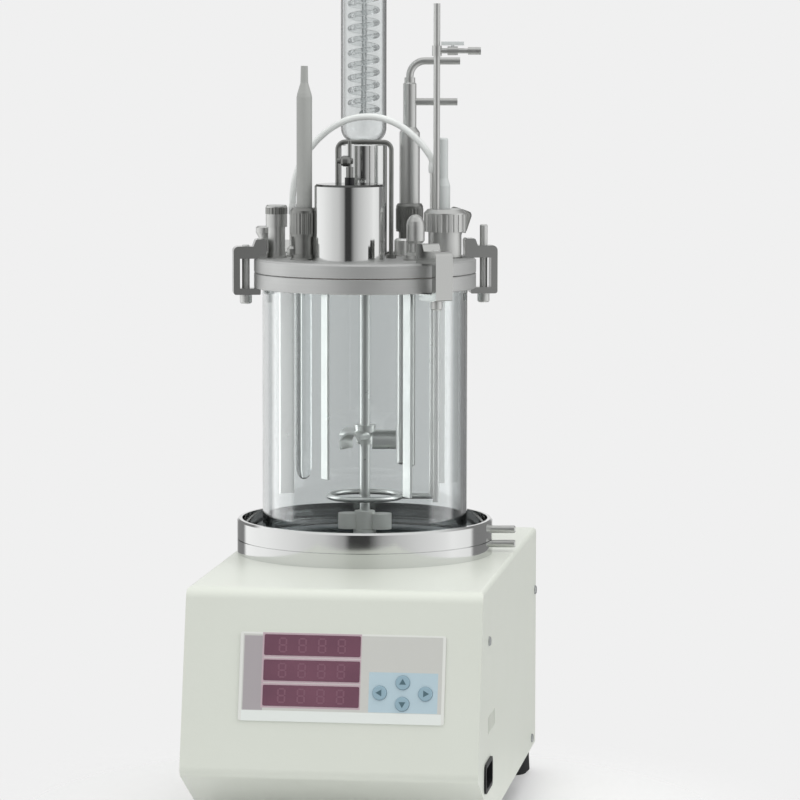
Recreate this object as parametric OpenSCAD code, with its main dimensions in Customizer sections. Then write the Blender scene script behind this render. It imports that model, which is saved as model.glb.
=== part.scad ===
// Bench bioreactor: a stirred glass jar with a clamped head plate, on a control cabinet
// with a magnetic drive. +Z up, front towards -Y, origin on the bench below the middle of
// the whole outline.

/* [Cabinet] */
// Width of the cabinet
cab_w = 220; // [190:1:260]
// Depth of the cabinet's flat top
cab_d = 375; // [350:1:430]
// Height of the cabinet without its feet
cab_h = 178; // [150:1:200]
// Height of the leaning part of the front
lean_h = 134; // [115:1:140]
// How far the front's lower edge stands forward of the top edge
lean = 31; // [0:1:50]
// How far the undercut runs back under the front
undercut = 84; // [40:1:100]
// Sheet thickness of the cover, the base and the rear panel
sheet = 2; // [1:0.1:3]
// Bend radius of the top front edge
front_bend = 10; // [4:1:16]
// Bend radius of the other edges
edge_bend = 3.5; // [2.5:0.5:6]
// Clearance between parts that are fitted together
fit = 0.1; // [0.05:0.01:0.2]
// Radial clearance of every shaft in its bearing
running = 0.05; // [0.02:0.01:0.1]
// How far the rear fittings may stand out of the rear panel
rear_proud = 4; // [4:0.5:10]

/* [Feet, grips and screws] */
// Height of the rubber feet
foot_h = 22; // [12:1:40]
// Radius of a foot
foot_r = 18; // [12:1:22]
// Distance of a foot's axis from the cabinet's side
foot_inset = 20; // [20:1:40]
// Length of the side grip's opening
grip_l = 38; // [30:1:44]
// Height of the side grip's opening
grip_h = 16; // [14:1:18]
// Depth of the side grip's recess
grip_depth = 20; // [12:1:30]
// Head radius of a cover screw
screw_head_r = 3.5; // [2.5:0.1:5]
// Head height of a cover screw
screw_head_h = 1.6; // [1:0.1:3]
// Number of vent slots in each side
vent_slots = 6; // [1:1:8]

/* [Front panel] */
// Width of the overlay
overlay_w = 152; // [140:1:170]
// Height of the overlay
overlay_h = 65; // [60:1:75]
// Thickness of the overlay
overlay_t = 1; // [0.6:0.1:2]
// Distance of the overlay's top edge from the cabinet's top edge
overlay_drop = 32; // [20:1:40]
// Width of a display window
window_w = 71; // [50:1:80]
// Height of a display window
window_h = 15; // [8:1:15]
// Pitch of the display windows
window_pitch = 18.5; // [16.5:0.5:20]
// Radius of a key
key_r = 5.2; // [4:0.1:6]
// Travel of a key
key_travel = 0.6; // [0.3:0.1:1]
// How far a key stands out of the overlay
key_proud = 1.2; // [1:0.1:2]

/* [Base ring] */
// Width of the water gap between the jar and the base ring
ring_space = 17; // [14:1:24]
// Height of the base ring
ring_h = 27; // [24:1:40]
// Height of its lower half
ring_base_h = 11; // [10:0.5:12]
// Wall of the base ring
ring_wall = 3; // [2:0.5:5]
// Distance of the jar's axis from the cabinet's top front edge
jar_setback = 210; // [180:1:250]
// Distance of the jar's axis from the cabinet's middle
jar_shift = -8; // [-20:1:20]
// Radius of a water nipple
nipple_r = 3; // [2:0.1:4]
// Length of a water nipple
nipple_l = 18; // [12:1:24]

/* [Jar and head] */
// Radius of the jar
jar_r = 80; // [74:1:84]
// Wall of the jar
jar_wall = 4.5; // [3:0.5:6]
// Thickness of the jar's bottom
jar_floor = 6; // [4:0.5:10]
// Height of the jar's rim above the cabinet
rim_z = 219; // [190:0.5:240]
// How far the head plate and the flange ring stand out of the jar
flange_lip = 6.5; // [5.5:0.5:10]
// Thickness of the head plate
plate_t = 11; // [8:0.5:15]
// Height of the flange ring under the jar's bead
flange_h = 11.5; // [10:0.5:16]
// Thickness of the heater mat under the jar
heater_t = 2; // [1:0.5:4]
// Number of baffles
baffles = 4; // [3:1:6]
// Width of a baffle
baffle_w = 11; // [6:1:12]

/* [Clamps] */
// How far the clamps stand out of the head plate
clamp_out = 16.5; // [15.5:0.5:20]
// Width of a clamp
clamp_w = 16; // [12:1:20]
// Thickness of a clamp's upper arm
clamp_arm_t = 9.5; // [7:0.5:14]
// Thickness of a clamp's lower jaw
clamp_jaw_t = 5; // [4:0.5:10]
// Radius of a clamp's bolt
bolt_r = 3; // [2:0.1:3.5]

/* [Drive and stirrer] */
// Radius of the stirrer's shaft
shaft_r = 4; // [3:0.1:5]
// Height of the impeller above the cabinet
impeller_z = 85; // [70:1:120]
// Radius of the impeller
impeller_r = 24; // [18:1:30]
// Reach of the magnet foot from the axis
foot_reach = 21; // [18:1:26]
// Radius of the motor
motor_r = 28; // [22:1:32]
// Length of the motor's body
motor_l = 64; // [50:1:80]
// Radius of the air ring under the impeller
sparger_r = 28; // [26:1:36]

/* [Fittings on the head] */
// Radius of the filter can
can_r = 27; // [20:1:28]
// Height of the filter can
can_h = 59; // [40:1:70]
// Radius of the condenser's glass
condenser_r = 18; // [14:0.5:20]
// Height of the condenser's foot cup
cup_h = 87; // [60:1:100]
// Length of the condenser's glass above its cup
condenser_l = 148; // [120:1:180]
// Pitch of the cooling coil
coil_pitch = 9.7; // [7:0.1:12]
// Radius of the electrode's body
electrode_r = 6; // [4:0.1:6]
// Radius of the cooler's tube
cooler_r = 5.2; // [3:0.1:5.5]
// Radius of the sampling tube
sample_r = 2.5; // [1.5:0.1:2.6]
// Radius of the handle's rod
handle_rod_r = 1.8; // [1.5:0.1:3]
// Half the width of the handle
handle_half = 21; // [17:1:23]
// Height of the handle above the head plate
handle_h = 90; // [60:1:95]
// Outer radius of the silicone tube
hose_r = 2.6; // [2:0.1:3]

/* [Hidden] */
$fn = 64;
eps = 0.01;

// Main levels and places
total_d = cab_d + lean + rear_proud;
y_foot_edge = -total_d / 2;
y_front = y_foot_edge + lean;
y_rear = y_front + cab_d;
y_under = y_foot_edge + undercut;
top_z = foot_h + cab_h;
jar_axis = [jar_shift, y_front + jar_setback, top_z];
front_tilt = atan(lean / lean_h);
inner_w = cab_w - 2 * sheet;
plate_r = jar_r + flange_lip;
clamp_r = plate_r + clamp_out;
ring_r = jar_r + ring_space + ring_wall;

// Levels above the cabinet's top, at the jar's axis
jar_z = ring_wall + heater_t;
floor_z = jar_z + jar_floor;
flange_z = rim_z - flange_h;
seal_t = 2;
plate_gap = 0.5;
plate_z = rim_z + plate_gap;
head_z = plate_z + plate_t;
jar_bore_r = jar_r - jar_wall;
bead = 2.5;
bead_h = 6;

// Side outline of the cabinet as [y, z], from the rear bottom over the top to the undercut
cabinet_side = [
    [y_rear, foot_h], [y_rear, top_z], [y_front, top_z],
    [y_foot_edge, top_z - lean_h], [y_under, foot_h]
];
side_bends = [0.6, edge_bend, front_bend, edge_bend * 2, edge_bend];

// ---------------------------------------------------------------- shapes
function unit(v) = v / norm(v);

// Corner q of an outline that runs counter-clockwise, moved inwards by w
function inset_corner(p, q, r, w) =
    let (a = unit(q - p), b = unit(r - q), m = [-a[1], a[0]], n = [-b[1], b[0]])
    q + w * (m + n) / (1 + m * n);
function inset(outline, w) = [
    for (i = [0:len(outline) - 1])
        inset_corner(outline[(i + len(outline) - 1) % len(outline)], outline[i],
                     outline[(i + 1) % len(outline)], w)
];
// The three points that replace a corner q that gets the radius r
function round_points(p, q, s, r) =
    let (u = unit(p - q), v = unit(s - q), half = acos(u * v) / 2)
    [q + u * r / tan(half), q + unit(u + v) * r / sin(half), q + v * r / tan(half)];

// An outline whose corners are true arcs. A radius of 0 keeps the corner sharp.
module rounded(outline, radii) {
    n = len(outline);
    corners = [for (i = [0:n - 1])
        radii[i] > 0
            ? round_points(outline[(i + n - 1) % n], outline[i], outline[(i + 1) % n], radii[i])
            : [outline[i]]];
    polygon([for (c = corners) each c]);
    for (i = [0:n - 1]) if (radii[i] > 0) translate(corners[i][1]) circle(r = radii[i]);
}

module plate_2d(w, h, r) {
    rounded([[-w / 2, -h / 2], [w / 2, -h / 2], [w / 2, h / 2], [-w / 2, h / 2]], [r, r, r, r]);
}

module tube(r, bore, h) {
    difference() {
        cylinder(r = r, h = h);
        translate([0, 0, -1]) cylinder(r = bore, h = h + 2);
    }
}

// A turned solid: points are [radius, height]
module turned(points) {
    rotate_extrude() polygon(points);
}

module at_jar() { translate(jar_axis) children(); }
module on_head(place) { at_jar() translate([place[0], place[1], head_z]) children(); }

// Places children on the leaning front: x to the right, y up the face, z out of it
module on_front() {
    translate([0, y_front, top_z]) rotate([90 - front_tilt, 0, 0]) children();
}
module on_sides() {
    for (s = [-1, 1]) scale([s, 1, 1]) children();
}

// A bar of round section from point a to point b
module bar(a, b, r) {
    d = b - a;
    translate(a) rotate([0, acos(d[2] / norm(d)), atan2(d[1], d[0])]) cylinder(r = r, h = norm(d));
}

// ---------------------------------------------------------------- cabinet
// The cabinet's outer form, moved inwards by w
module cabinet_form(w) {
    bend = max(edge_bend - w, 0.5);
    intersection() {
        translate([-cab_w / 2, 0, 0]) rotate([90, 0, 90]) linear_extrude(cab_w)
            rounded(inset(cabinet_side, w), [for (b = side_bends) max(b - w, 0.5)]);
        translate([0, total_d, 0]) rotate([90, 0, 0]) linear_extrude(2 * total_d)
            rounded([[-cab_w / 2 + w, 0], [cab_w / 2 - w, 0], [cab_w / 2 - w, top_z - w],
                     [-cab_w / 2 + w, top_z - w]], [0, 0, bend, bend]);
    }
}

// Front panel layout, from the cabinet's top edge down the face
overlay_x = 8;
overlay_y = -(overlay_drop + overlay_h / 2);
window_x = -14.5;
window_edge = 1.7;
window_top = overlay_y + overlay_h / 2 - window_edge;
window_y = [for (i = [0:2]) window_top - window_h / 2 - i * window_pitch];
key_mid = [53, overlay_y - 10];
key_dx = 16.8;
key_dy = 7.8;
key_places = [
    key_mid - [key_dx, 0], key_mid + [0, key_dy], key_mid - [0, key_dy], key_mid + [key_dx, 0]
];
key_gap = 0.2;
key_flange_r = key_r + 1.4;
key_flange_t = 1;
key_stem = 6.2;
board_depth = 14;
board_t = 1.6;
panel_hole_w = overlay_w - 12;
panel_hole_h = overlay_h - 3;

// Side details as [y, z]
vent_w = 3;
vent_l = 13;
vent_pitch = 8;
vent_mid = [y_front + 55, top_z - 104];
grip_mid = [y_front + 30, top_z - 140];
grip_rim = 2;
grip_wall = 2;
screw_places = [[y_front + 36, top_z - 41], [y_rear - 10, top_z - 50.5], [y_rear - 30, foot_h + 8]];
screw_r = 1.5;
screw_l = 8;

module on_side_face() {
    on_sides() translate([cab_w / 2, 0, 0]) rotate([90, 0, 90]) children();
}

module housing_cover() {
    color([0.86, 0.87, 0.83]) difference() {
        cabinet_form(0);
        cabinet_form(sheet);
        // open rear and open underside
        translate([-inner_w / 2, y_rear - 3 * sheet, foot_h - 1])
            cube([inner_w, 4 * sheet, cab_h + 1 - sheet]);
        translate([-inner_w / 2, y_under + 2 * sheet, foot_h - 1]) cube([inner_w, total_d, 2 * sheet + 1]);
        on_front() translate([overlay_x, overlay_y, -2 * sheet]) linear_extrude(3 * sheet)
            plate_2d(panel_hole_w, panel_hole_h, 2);
        on_side_face() {
            for (p = screw_places) translate([p[0], p[1], -2 * sheet])
                cylinder(r = screw_r + fit, h = 3 * sheet);
            translate([grip_mid[0], grip_mid[1], -2 * sheet]) linear_extrude(3 * sheet)
                plate_2d(grip_l + 2 * grip_wall + 2 * fit, grip_h + 2 * grip_wall + 2 * fit, 4);
            for (i = [0:vent_slots - 1])
                translate([vent_mid[0] + (i - (vent_slots - 1) / 2) * vent_pitch, vent_mid[1], -2 * sheet])
                    linear_extrude(3 * sheet) plate_2d(vent_w, vent_l, vent_w / 2 - eps);
        }
    }
}

// Base tray with a lip along each side and uprights that take the cover's screws.
// The front uprights stand behind the grips and reach forward above them.
post_w = 16;
tray_y = y_under + 2 * sheet + fit;
tray_rear = y_rear - sheet - fit;
module upright(p) {
    front_limit = max(grip_mid[0] + grip_l / 2 + 2 * grip_wall + 3, tray_y);
    near_grip = p[0] - post_w / 2 < front_limit;
    y = min(near_grip ? front_limit : p[0] - post_w / 2, tray_rear - post_w);
    translate([y, foot_h]) square([post_w, p[1] + post_w / 2 - foot_h]);
    translate([min(y, p[0] - post_w / 2), p[1] - post_w / 2])
        square([abs(y - p[0] + post_w / 2) + post_w, post_w]);
}
module chassis_base() {
    tray_w = inner_w - 2 * fit;
    color([0.55, 0.56, 0.57]) difference() {
        union() {
            translate([-tray_w / 2, tray_y, foot_h]) cube([tray_w, tray_rear - tray_y, sheet]);
            for (s = [-1, 1]) translate([s * (tray_w - sheet) / 2 - sheet / 2, 0, 0]) {
                translate([0, grip_mid[0] + grip_l / 2 + 8, foot_h])
                    cube([sheet, tray_rear - grip_mid[0] - grip_l / 2 - 8, 12]);
                rotate([90, 0, 90]) linear_extrude(sheet) for (p = screw_places) upright(p);
            }
        }
        on_side_face() for (p = screw_places)
            translate([p[0], p[1], -3 * sheet]) cylinder(r = screw_r + eps, h = 4 * sheet);
        // air slots in the tray
        for (i = [-3:3]) translate([i * 14 - 2, y_under + 130, foot_h - 1]) cube([4, 60, sheet + 2]);
    }
}

// Rear fittings as [x, z]
inlet_place = [-60, foot_h + 52];
inlet_w = 50;
inlet_h = 62;
inlet_t = 2.5;
inlet_depth = 24;
rocker_w = 11;
rocker_l = 20;
rocker_tilt = 12;
rocker_place = [inlet_place[0], inlet_place[1] + 17];
socket_place = [inlet_place[0], inlet_place[1] - 13];

module rear_panel() {
    panel_h = cab_h - sheet - 2 * fit;
    color([0.84, 0.85, 0.81]) difference() {
        translate([-inner_w / 2 + fit, y_rear - sheet, foot_h])
            cube([inner_w - 2 * fit, sheet, panel_h]);
        translate([inlet_place[0], y_rear + sheet, inlet_place[1]]) rotate([90, 0, 0])
            linear_extrude(4 * sheet) plate_2d(inlet_w - 6, inlet_h - 6, 2);
        for (i = [0:9]) translate([30 + i * 7, y_rear - 2 * sheet, foot_h + 90])
            cube([3, 3 * sheet, 44]);
    }
}

module feet() {
    color([0.08, 0.08, 0.08])
        for (x = [-1, 1], y = [y_under + 2 * sheet + foot_r + 8, y_rear - foot_r - 6])
            translate([x * (cab_w / 2 - foot_inset), y, 0])
                turned([[0, 0], [foot_r - 3, 0], [foot_r, 3], [foot_r - 1, foot_h], [0, foot_h]]);
}

module cover_screws() {
    color([0.7, 0.71, 0.7]) on_side_face() for (p = screw_places) translate([p[0], p[1], 0]) difference() {
        turned([[0, -screw_l], [screw_r, -screw_l], [screw_r, 0], [screw_head_r, 0],
                [screw_head_r, screw_head_h * 0.6], [screw_head_r - 0.8, screw_head_h], [0, screw_head_h]]);
        for (a = [0, 90]) rotate([0, 0, a]) translate([-2, -0.35, screw_head_h - 0.8]) cube([4, 0.7, 1]);
    }
}

module side_grips() {
    color([0.06, 0.06, 0.06]) on_side_face() translate([grip_mid[0], grip_mid[1], 0]) difference() {
        union() {
            translate([0, 0, -grip_depth - grip_wall]) linear_extrude(grip_depth + grip_wall)
                plate_2d(grip_l + 2 * grip_wall, grip_h + 2 * grip_wall, 4);
            linear_extrude(screw_head_h)
                plate_2d(grip_l + 2 * grip_wall + grip_rim, grip_h + 2 * grip_wall + grip_rim, 5);
        }
        translate([0, 0, -grip_depth]) linear_extrude(2 * grip_depth) plate_2d(grip_l, grip_h, 3);
    }
}

// ---------------------------------------------------------------- front panel
module front_overlay() {
    color([0.9, 0.9, 0.88]) on_front() difference() {
        translate([overlay_x, overlay_y, 0]) linear_extrude(overlay_t) plate_2d(overlay_w, overlay_h, 2);
        for (y = window_y) translate([window_x, y, -1]) linear_extrude(overlay_t + 2)
            plate_2d(window_w + 2 * fit, window_h + 2 * fit, 1);
        for (p = key_places) translate([p[0], p[1], -1]) cylinder(r = key_r + key_gap, h = overlay_t + 2);
    }
}

module display_windows() {
    color([0.42, 0.2, 0.3]) on_front() for (y = window_y)
        translate([window_x, y, -1]) linear_extrude(overlay_t + 1.3) plate_2d(window_w, window_h, 1);
}

// A key: a cap that stands out of the overlay, a flange behind it, and a stem to its switch
module key(i) {
    p = key_places[i];
    color([0.6, 0.75, 0.86]) on_front() translate([p[0], p[1], 0])
        turned([[0, -key_stem], [1.6, -key_stem], [1.6, -key_gap - key_flange_t],
                [key_flange_r, -key_gap - key_flange_t], [key_flange_r, -key_gap], [key_r, -key_gap],
                [key_r, overlay_t + key_proud - 0.5], [key_r - 0.5, overlay_t + key_proud],
                [0, overlay_t + key_proud]]);
}
module key_left() { key(0); }
module key_up() { key(1); }
module key_down() { key(2); }
module key_right() { key(3); }

// Control board behind the front, with its pillars, switches and display blocks
module control_board() {
    board_w = panel_hole_w + 20;
    board_h = overlay_h + 8;
    switch_top = -key_stem - key_travel - 0.3;
    color([0.1, 0.35, 0.2]) on_front() {
        translate([overlay_x, overlay_y, -board_depth]) linear_extrude(board_t)
            plate_2d(board_w, board_h, 2);
        for (x = [-1, 1], y = [-1, 1])
            translate([overlay_x + x * (board_w / 2 - 4), overlay_y + y * (board_h / 2 - 3),
                       -board_depth + board_t - eps])
                cylinder(r = 2.5, h = board_depth - board_t - sheet + eps);
        for (p = key_places) translate([p[0] - 3, p[1] - 3, -board_depth + board_t - eps])
            cube([6, 6, board_depth - board_t + switch_top]);
        for (y = window_y) translate([window_x, y, -board_depth + board_t - eps])
            linear_extrude(board_depth - board_t - 1.2) plate_2d(window_w - 4, window_h - 1, 0);
    }
}

// Power supply in a case, on four pillars
supply_size = [62, 120, 40];
supply_pillar = 6;
supply_corner = [inner_w / 2 - supply_size[0] - 13, y_rear - supply_size[1] - 30, foot_h + sheet];
module power_supply() {
    from_edge = 8;
    color([0.72, 0.73, 0.74]) translate(supply_corner) {
        translate([0, 0, supply_pillar]) cube(supply_size);
        for (x = [from_edge, supply_size[0] - from_edge], y = [from_edge, supply_size[1] - from_edge])
            translate([x, y, 0]) cylinder(r = 3.5, h = supply_pillar + eps);
    }
}

// Mains inlet and switch frame, moulded in one piece
module power_inlet() {
    pin_l = 16;
    color([0.07, 0.07, 0.07]) difference() {
        union() {
            translate([inlet_place[0], y_rear + inlet_t, inlet_place[1]]) rotate([90, 0, 0])
                linear_extrude(inlet_t) plate_2d(inlet_w, inlet_h, 3);
            translate([inlet_place[0], y_rear, inlet_place[1]]) rotate([90, 0, 0])
                linear_extrude(inlet_depth) plate_2d(inlet_w - 6 - 2 * fit, inlet_h - 6 - 2 * fit, 2);
        }
        // socket with cut upper corners
        translate([socket_place[0], y_rear + inlet_t + 1, socket_place[1]]) rotate([90, 0, 0])
            linear_extrude(pin_l + inlet_t + 1)
                polygon([[-12, -8.5], [12, -8.5], [12, 3.5], [7, 8.5], [-7, 8.5], [-12, 3.5]]);
        // rocker's well
        translate([rocker_place[0] - rocker_w / 2 - 0.4, y_rear - 9, rocker_place[1] - rocker_l / 2 - 0.6])
            cube([rocker_w + 0.8, 20, rocker_l + 1.2]);
    }
    color([0.75, 0.72, 0.6]) for (p = [[-7, -2.5], [0, 2], [7, -2.5]])
        translate([socket_place[0] + p[0] - 1, y_rear - pin_l - 0.1, socket_place[1] + p[1] - 2.5])
            cube([2, pin_l - 2, 5]);
}

rocker_axis = [rocker_place[0], y_rear, rocker_place[1]];
// Rocker, at rest with its lower half pressed in
module rocker_switch() {
    h = rocker_l / 2 - 0.4;
    color([0.12, 0.12, 0.12]) translate(rocker_axis) rotate([rocker_tilt, 0, 0])
        translate([-rocker_w / 2, 0, 0]) rotate([90, 0, 90]) linear_extrude(rocker_w)
            polygon([[-4, -h * 0.5], [1.6, -h], [0.9, 0], [1.6, h], [-4, h * 0.5]]);
}

// ---------------------------------------------------------------- magnetic drive
yoke_top = -sheet - 1.5;
yoke_t = 5;
motor_top = -sheet - 13;
drive_shaft_r = 4;

module drive_motor() {
    color([0.3, 0.31, 0.33]) at_jar() difference() {
        union() {
            translate([0, 0, motor_top - motor_l]) cylinder(r = motor_r, h = motor_l);
            translate([0, 0, motor_top - 4]) cylinder(r = motor_r + 12, h = 4);
            for (a = [45:90:315]) rotate([0, 0, a]) translate([motor_r + 8, 0, motor_top - eps])
                cylinder(r = 3.5, h = -sheet - motor_top + eps);
        }
        translate([0, 0, motor_top - motor_l + 6]) cylinder(r = drive_shaft_r + running, h = motor_l);
    }
}

// Disc with two magnets, on the motor's shaft
module drive_yoke() {
    color([0.62, 0.63, 0.64]) at_jar() {
        turned([[0, motor_top - motor_l + 6.3], [drive_shaft_r, motor_top - motor_l + 6.3],
                [drive_shaft_r, motor_top + 0.5], [9, motor_top + 0.5], [9, yoke_top - 2 - yoke_t],
                [motor_r, yoke_top - 2 - yoke_t], [motor_r, yoke_top - 2], [0, yoke_top - 2]]);
        for (s = [-1, 1]) translate([s * 16, 0, yoke_top - 2 - eps]) cylinder(r = 7, h = 2 + eps);
    }
}

// ---------------------------------------------------------------- base ring
nipple_angle = 8;
nipple_z = [6.2, 17.5];
nipple_bore = 1.6;
nipple_root_r = nipple_r - 0.5;
spigot_h = 2.5;
module nipple_hole(z) {
    rotate([0, 0, nipple_angle]) translate([ring_r - 4 * ring_wall, 0, z]) rotate([0, 90, 0])
        cylinder(r = nipple_root_r + fit, h = 5 * ring_wall);
}

module ring_base() {
    color([0.78, 0.79, 0.8]) at_jar() difference() {
        turned([[0, 0], [ring_r, 0], [ring_r, ring_base_h], [ring_r - ring_wall, ring_base_h],
                [ring_r - ring_wall, ring_wall], [0, ring_wall]]);
        nipple_hole(nipple_z[0]);
    }
}

// Upper half: an outer wall with a rolled rim, and a spigot that centres it in the lower half
module ring_collar() {
    inner = ring_r - ring_wall;
    color([0.82, 0.83, 0.84]) at_jar() difference() {
        turned([[inner - ring_wall, ring_base_h - spigot_h], [inner - fit, ring_base_h - spigot_h],
                [inner - fit, ring_base_h + 0.6], [ring_r, ring_base_h + 0.6], [ring_r, ring_h - 1.5],
                [ring_r - 1.5, ring_h], [inner - 1, ring_h], [inner - 1, ring_base_h + spigot_h],
                [inner - ring_wall, ring_base_h + spigot_h]]);
        nipple_hole(nipple_z[1]);
    }
}

// Two plain hose nipples, each with a thinner root in the ring's wall and a chamfered end
module base_nipples() {
    color([0.7, 0.71, 0.7]) at_jar() rotate([0, 0, nipple_angle])
        for (z = nipple_z) translate([ring_r, 0, z]) rotate([0, 90, 0])
            turned([[nipple_bore, -ring_wall], [nipple_root_r, -ring_wall], [nipple_root_r, 0.02],
                    [nipple_r, 0.02], [nipple_r, nipple_l - 1], [nipple_r - 0.8, nipple_l],
                    [nipple_bore, nipple_l]]);
}

module heater_mat() {
    color([0.12, 0.12, 0.13]) at_jar() translate([0, 0, ring_wall])
        cylinder(r = ring_r - 2 * ring_wall - 2, h = heater_t);
}

// ---------------------------------------------------------------- jar
module glass_jar() {
    bend = 12;
    color([0.8, 0.88, 0.9, 0.35]) at_jar() rotate_extrude() difference() {
        union() {
            rounded([[0, jar_z], [jar_r, jar_z], [jar_r, rim_z], [0, rim_z]], [0, bend, 0, 0]);
            rounded([[0, rim_z - bead_h], [jar_r + bead, rim_z - bead_h], [jar_r + bead, rim_z],
                     [0, rim_z]], [0, 1.5, 0.8, 0]);
        }
        rounded([[-1, floor_z], [jar_bore_r, floor_z], [jar_bore_r, rim_z + 1], [-1, rim_z + 1]],
                [0, bend - 3, 0, 0]);
    }
}

module jar_flange() {
    color([0.74, 0.75, 0.76]) at_jar()
        turned([[jar_r + 0.3, flange_z], [plate_r - 0.6, flange_z], [plate_r, flange_z + 0.6],
                [plate_r, rim_z - 0.6], [plate_r - 0.6, rim_z], [jar_r + bead + 0.3, rim_z],
                [jar_r + bead + 0.3, rim_z - bead_h - 0.3], [jar_r + 0.3, rim_z - bead_h - 0.3]]);
}

seal_in = jar_bore_r + 0.5;
seal_out = jar_r + bead - 0.5;
module head_seal() {
    color([0.75, 0.2, 0.15]) at_jar() translate([0, 0, rim_z]) tube(seal_out, seal_in, seal_t);
}

// Ports of the head plate, as [x, y] from the jar's axis
electrode_port = [-42.8, -31];
spare_place = [-68, -11];
post_place = [-80.5, 7];
nipple_place = [-58, 6];
can_place = [-6, -41];
condenser_place = [-7, 39.5];
handle_y = -4;
cooler_port = [28.2, 49.5];
dome_place = [42.8, -24.5];
multi_place = [61.5, 8.5];
well_place = [26, 29];
inoculation_place = [59.5, 36];
inoculation_lean = 20;

// Places of the three tubes in the large port, from its axis
sparge_offset = [-9.2, -3.4];
sample_offset = [-5.6, -8.3];
sleeve_offset = [-3.4, 4.2];

module head_plate() {
    hole_h = plate_t + 2;
    holes = [
        [electrode_port, electrode_r + fit], [spare_place, 5], [nipple_place, 3], [can_place, 3],
        [condenser_place, 7.2], [cooler_port, cooler_r + fit], [dome_place, 5], [multi_place, 13],
        [well_place, 4.6], [[-handle_half, handle_y], handle_rod_r + fit],
        [[handle_half, handle_y], handle_rod_r + fit]
    ];
    color([0.72, 0.73, 0.74]) at_jar() difference() {
        turned([[0, plate_z], [plate_r - 0.6, plate_z], [plate_r, plate_z + 0.6], [plate_r, head_z - 1.5],
                [plate_r - 1.5, head_z], [0, head_z]]);
        translate([0, 0, rim_z]) tube(seal_out + fit, seal_in - fit, seal_t);
        for (h = holes) translate([h[0][0], h[0][1], plate_z - 1]) cylinder(r = h[1], h = hole_h);
        translate([inoculation_place[0], inoculation_place[1], plate_z - 1]) cylinder(r = 5, h = hole_h);
    }
}

// ---------------------------------------------------------------- clamps
clamp_angles = [-46, 14, 134, 194];
clamp_tip = [1, 16, 1, 1];
clamp_in = plate_r - 9;
clamp_toe = 5.5;
clamp_back = 5;
bolt_at = clamp_r - clamp_back - bolt_r - 2;
bolt_gap = running;

module at_clamp(i) { at_jar() rotate([0, 0, clamp_angles[i]]) children(); }

module clamp_frames() {
    low = flange_z - clamp_jaw_t;
    color([0.72, 0.73, 0.72]) for (i = [0:3]) at_clamp(i) difference() {
        translate([0, clamp_w / 2, 0]) rotate([90, 0, 0]) linear_extrude(clamp_w)
            rounded([[clamp_in, head_z], [clamp_r - clamp_back, head_z], [clamp_r - clamp_back, flange_z],
                     [jar_r + 2, flange_z], [jar_r + 2, low], [clamp_r, low],
                     [clamp_r, head_z + clamp_arm_t], [plate_r + 1, head_z + clamp_arm_t],
                     [plate_r - 1, head_z + clamp_arm_t + clamp_toe],
                     [clamp_in, head_z + clamp_arm_t + clamp_toe]],
                    [0, 0, 0, 0, 1, 2, 4, 0, 2, 2]);
        translate([bolt_at, 0, low - 1]) cylinder(r = bolt_r + bolt_gap, h = 2 * clamp_r);
    }
}

module clamp_bolt(i) {
    low = flange_z - clamp_jaw_t;
    top = head_z + clamp_arm_t + clamp_tip[i];
    head_r = bolt_r + 1.7;
    color([0.8, 0.8, 0.8]) at_clamp(i) translate([bolt_at, 0, 0])
        turned([[0, low - 7.2], [head_r - 1, low - 7.2], [head_r, low - 6.2], [head_r, low - 0.2],
                [bolt_r, low - 0.2], [bolt_r, top - 0.8], [bolt_r - 0.8, top], [0, top]]);
}
module clamp_bolt_1() { clamp_bolt(0); }
module clamp_bolt_2() { clamp_bolt(1); }
module clamp_bolt_3() { clamp_bolt(2); }
module clamp_bolt_4() { clamp_bolt(3); }

// ---------------------------------------------------------------- stirrer
pivot_h = 7;
pivot_r = 3;
foot_low = floor_z + pivot_h + 0.3;
foot_thick = 14;
shaft_top = plate_z - 3;

module stirrer_shaft() {
    color([0.6, 0.61, 0.62]) at_jar()
        turned([[0, floor_z + 2.3], [pivot_r, floor_z + 2.3], [pivot_r, foot_low], [shaft_r, foot_low],
                [shaft_r, shaft_top], [0, shaft_top]]);
}

module magnet_foot() {
    color([0.93, 0.93, 0.91]) at_jar() translate([0, 0, foot_low]) difference() {
        union() {
            cylinder(r = 8, h = foot_thick);
            for (s = [-1, 1]) {
                translate([s * (foot_reach - 8), 0, 0]) cylinder(r = 8, h = foot_thick - 2);
                translate([min(0, s * (foot_reach - 8)), -4, 1]) cube([foot_reach - 8, 8, foot_thick - 5]);
            }
        }
        translate([0, 0, -1]) cylinder(r = shaft_r, h = foot_thick + 2);
    }
}

// Hub and three arched blades
module impeller() {
    hub_h = 15;
    arch_r = 10;
    blade_t = 1.6;
    root = 1.5;
    color([0.86, 0.87, 0.88]) at_jar() translate([0, 0, impeller_z]) difference() {
        union() {
            cylinder(r1 = shaft_r + 2.5, r2 = shaft_r + 4.5, h = hub_h);
            for (a = [10, 130, 250]) rotate([0, 0, a])
                translate([shaft_r + root, 0, 1]) rotate([90, 0, 90])
                    linear_extrude(impeller_r - shaft_r - root) rotate(25) difference() {
                        circle(r = arch_r);
                        circle(r = arch_r - blade_t);
                        translate([-2 * arch_r, -4 * arch_r]) square(4 * arch_r);
                    }
        }
        translate([0, 0, -1]) cylinder(r = shaft_r, h = hub_h + 2);
    }
}

module top_bearing() {
    color([0.93, 0.93, 0.91]) at_jar() translate([0, 0, plate_z - 13]) difference() {
        cylinder(r = 10, h = 13);
        translate([0, 0, -1]) cylinder(r = shaft_r + running, h = 11.5);
    }
}

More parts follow.
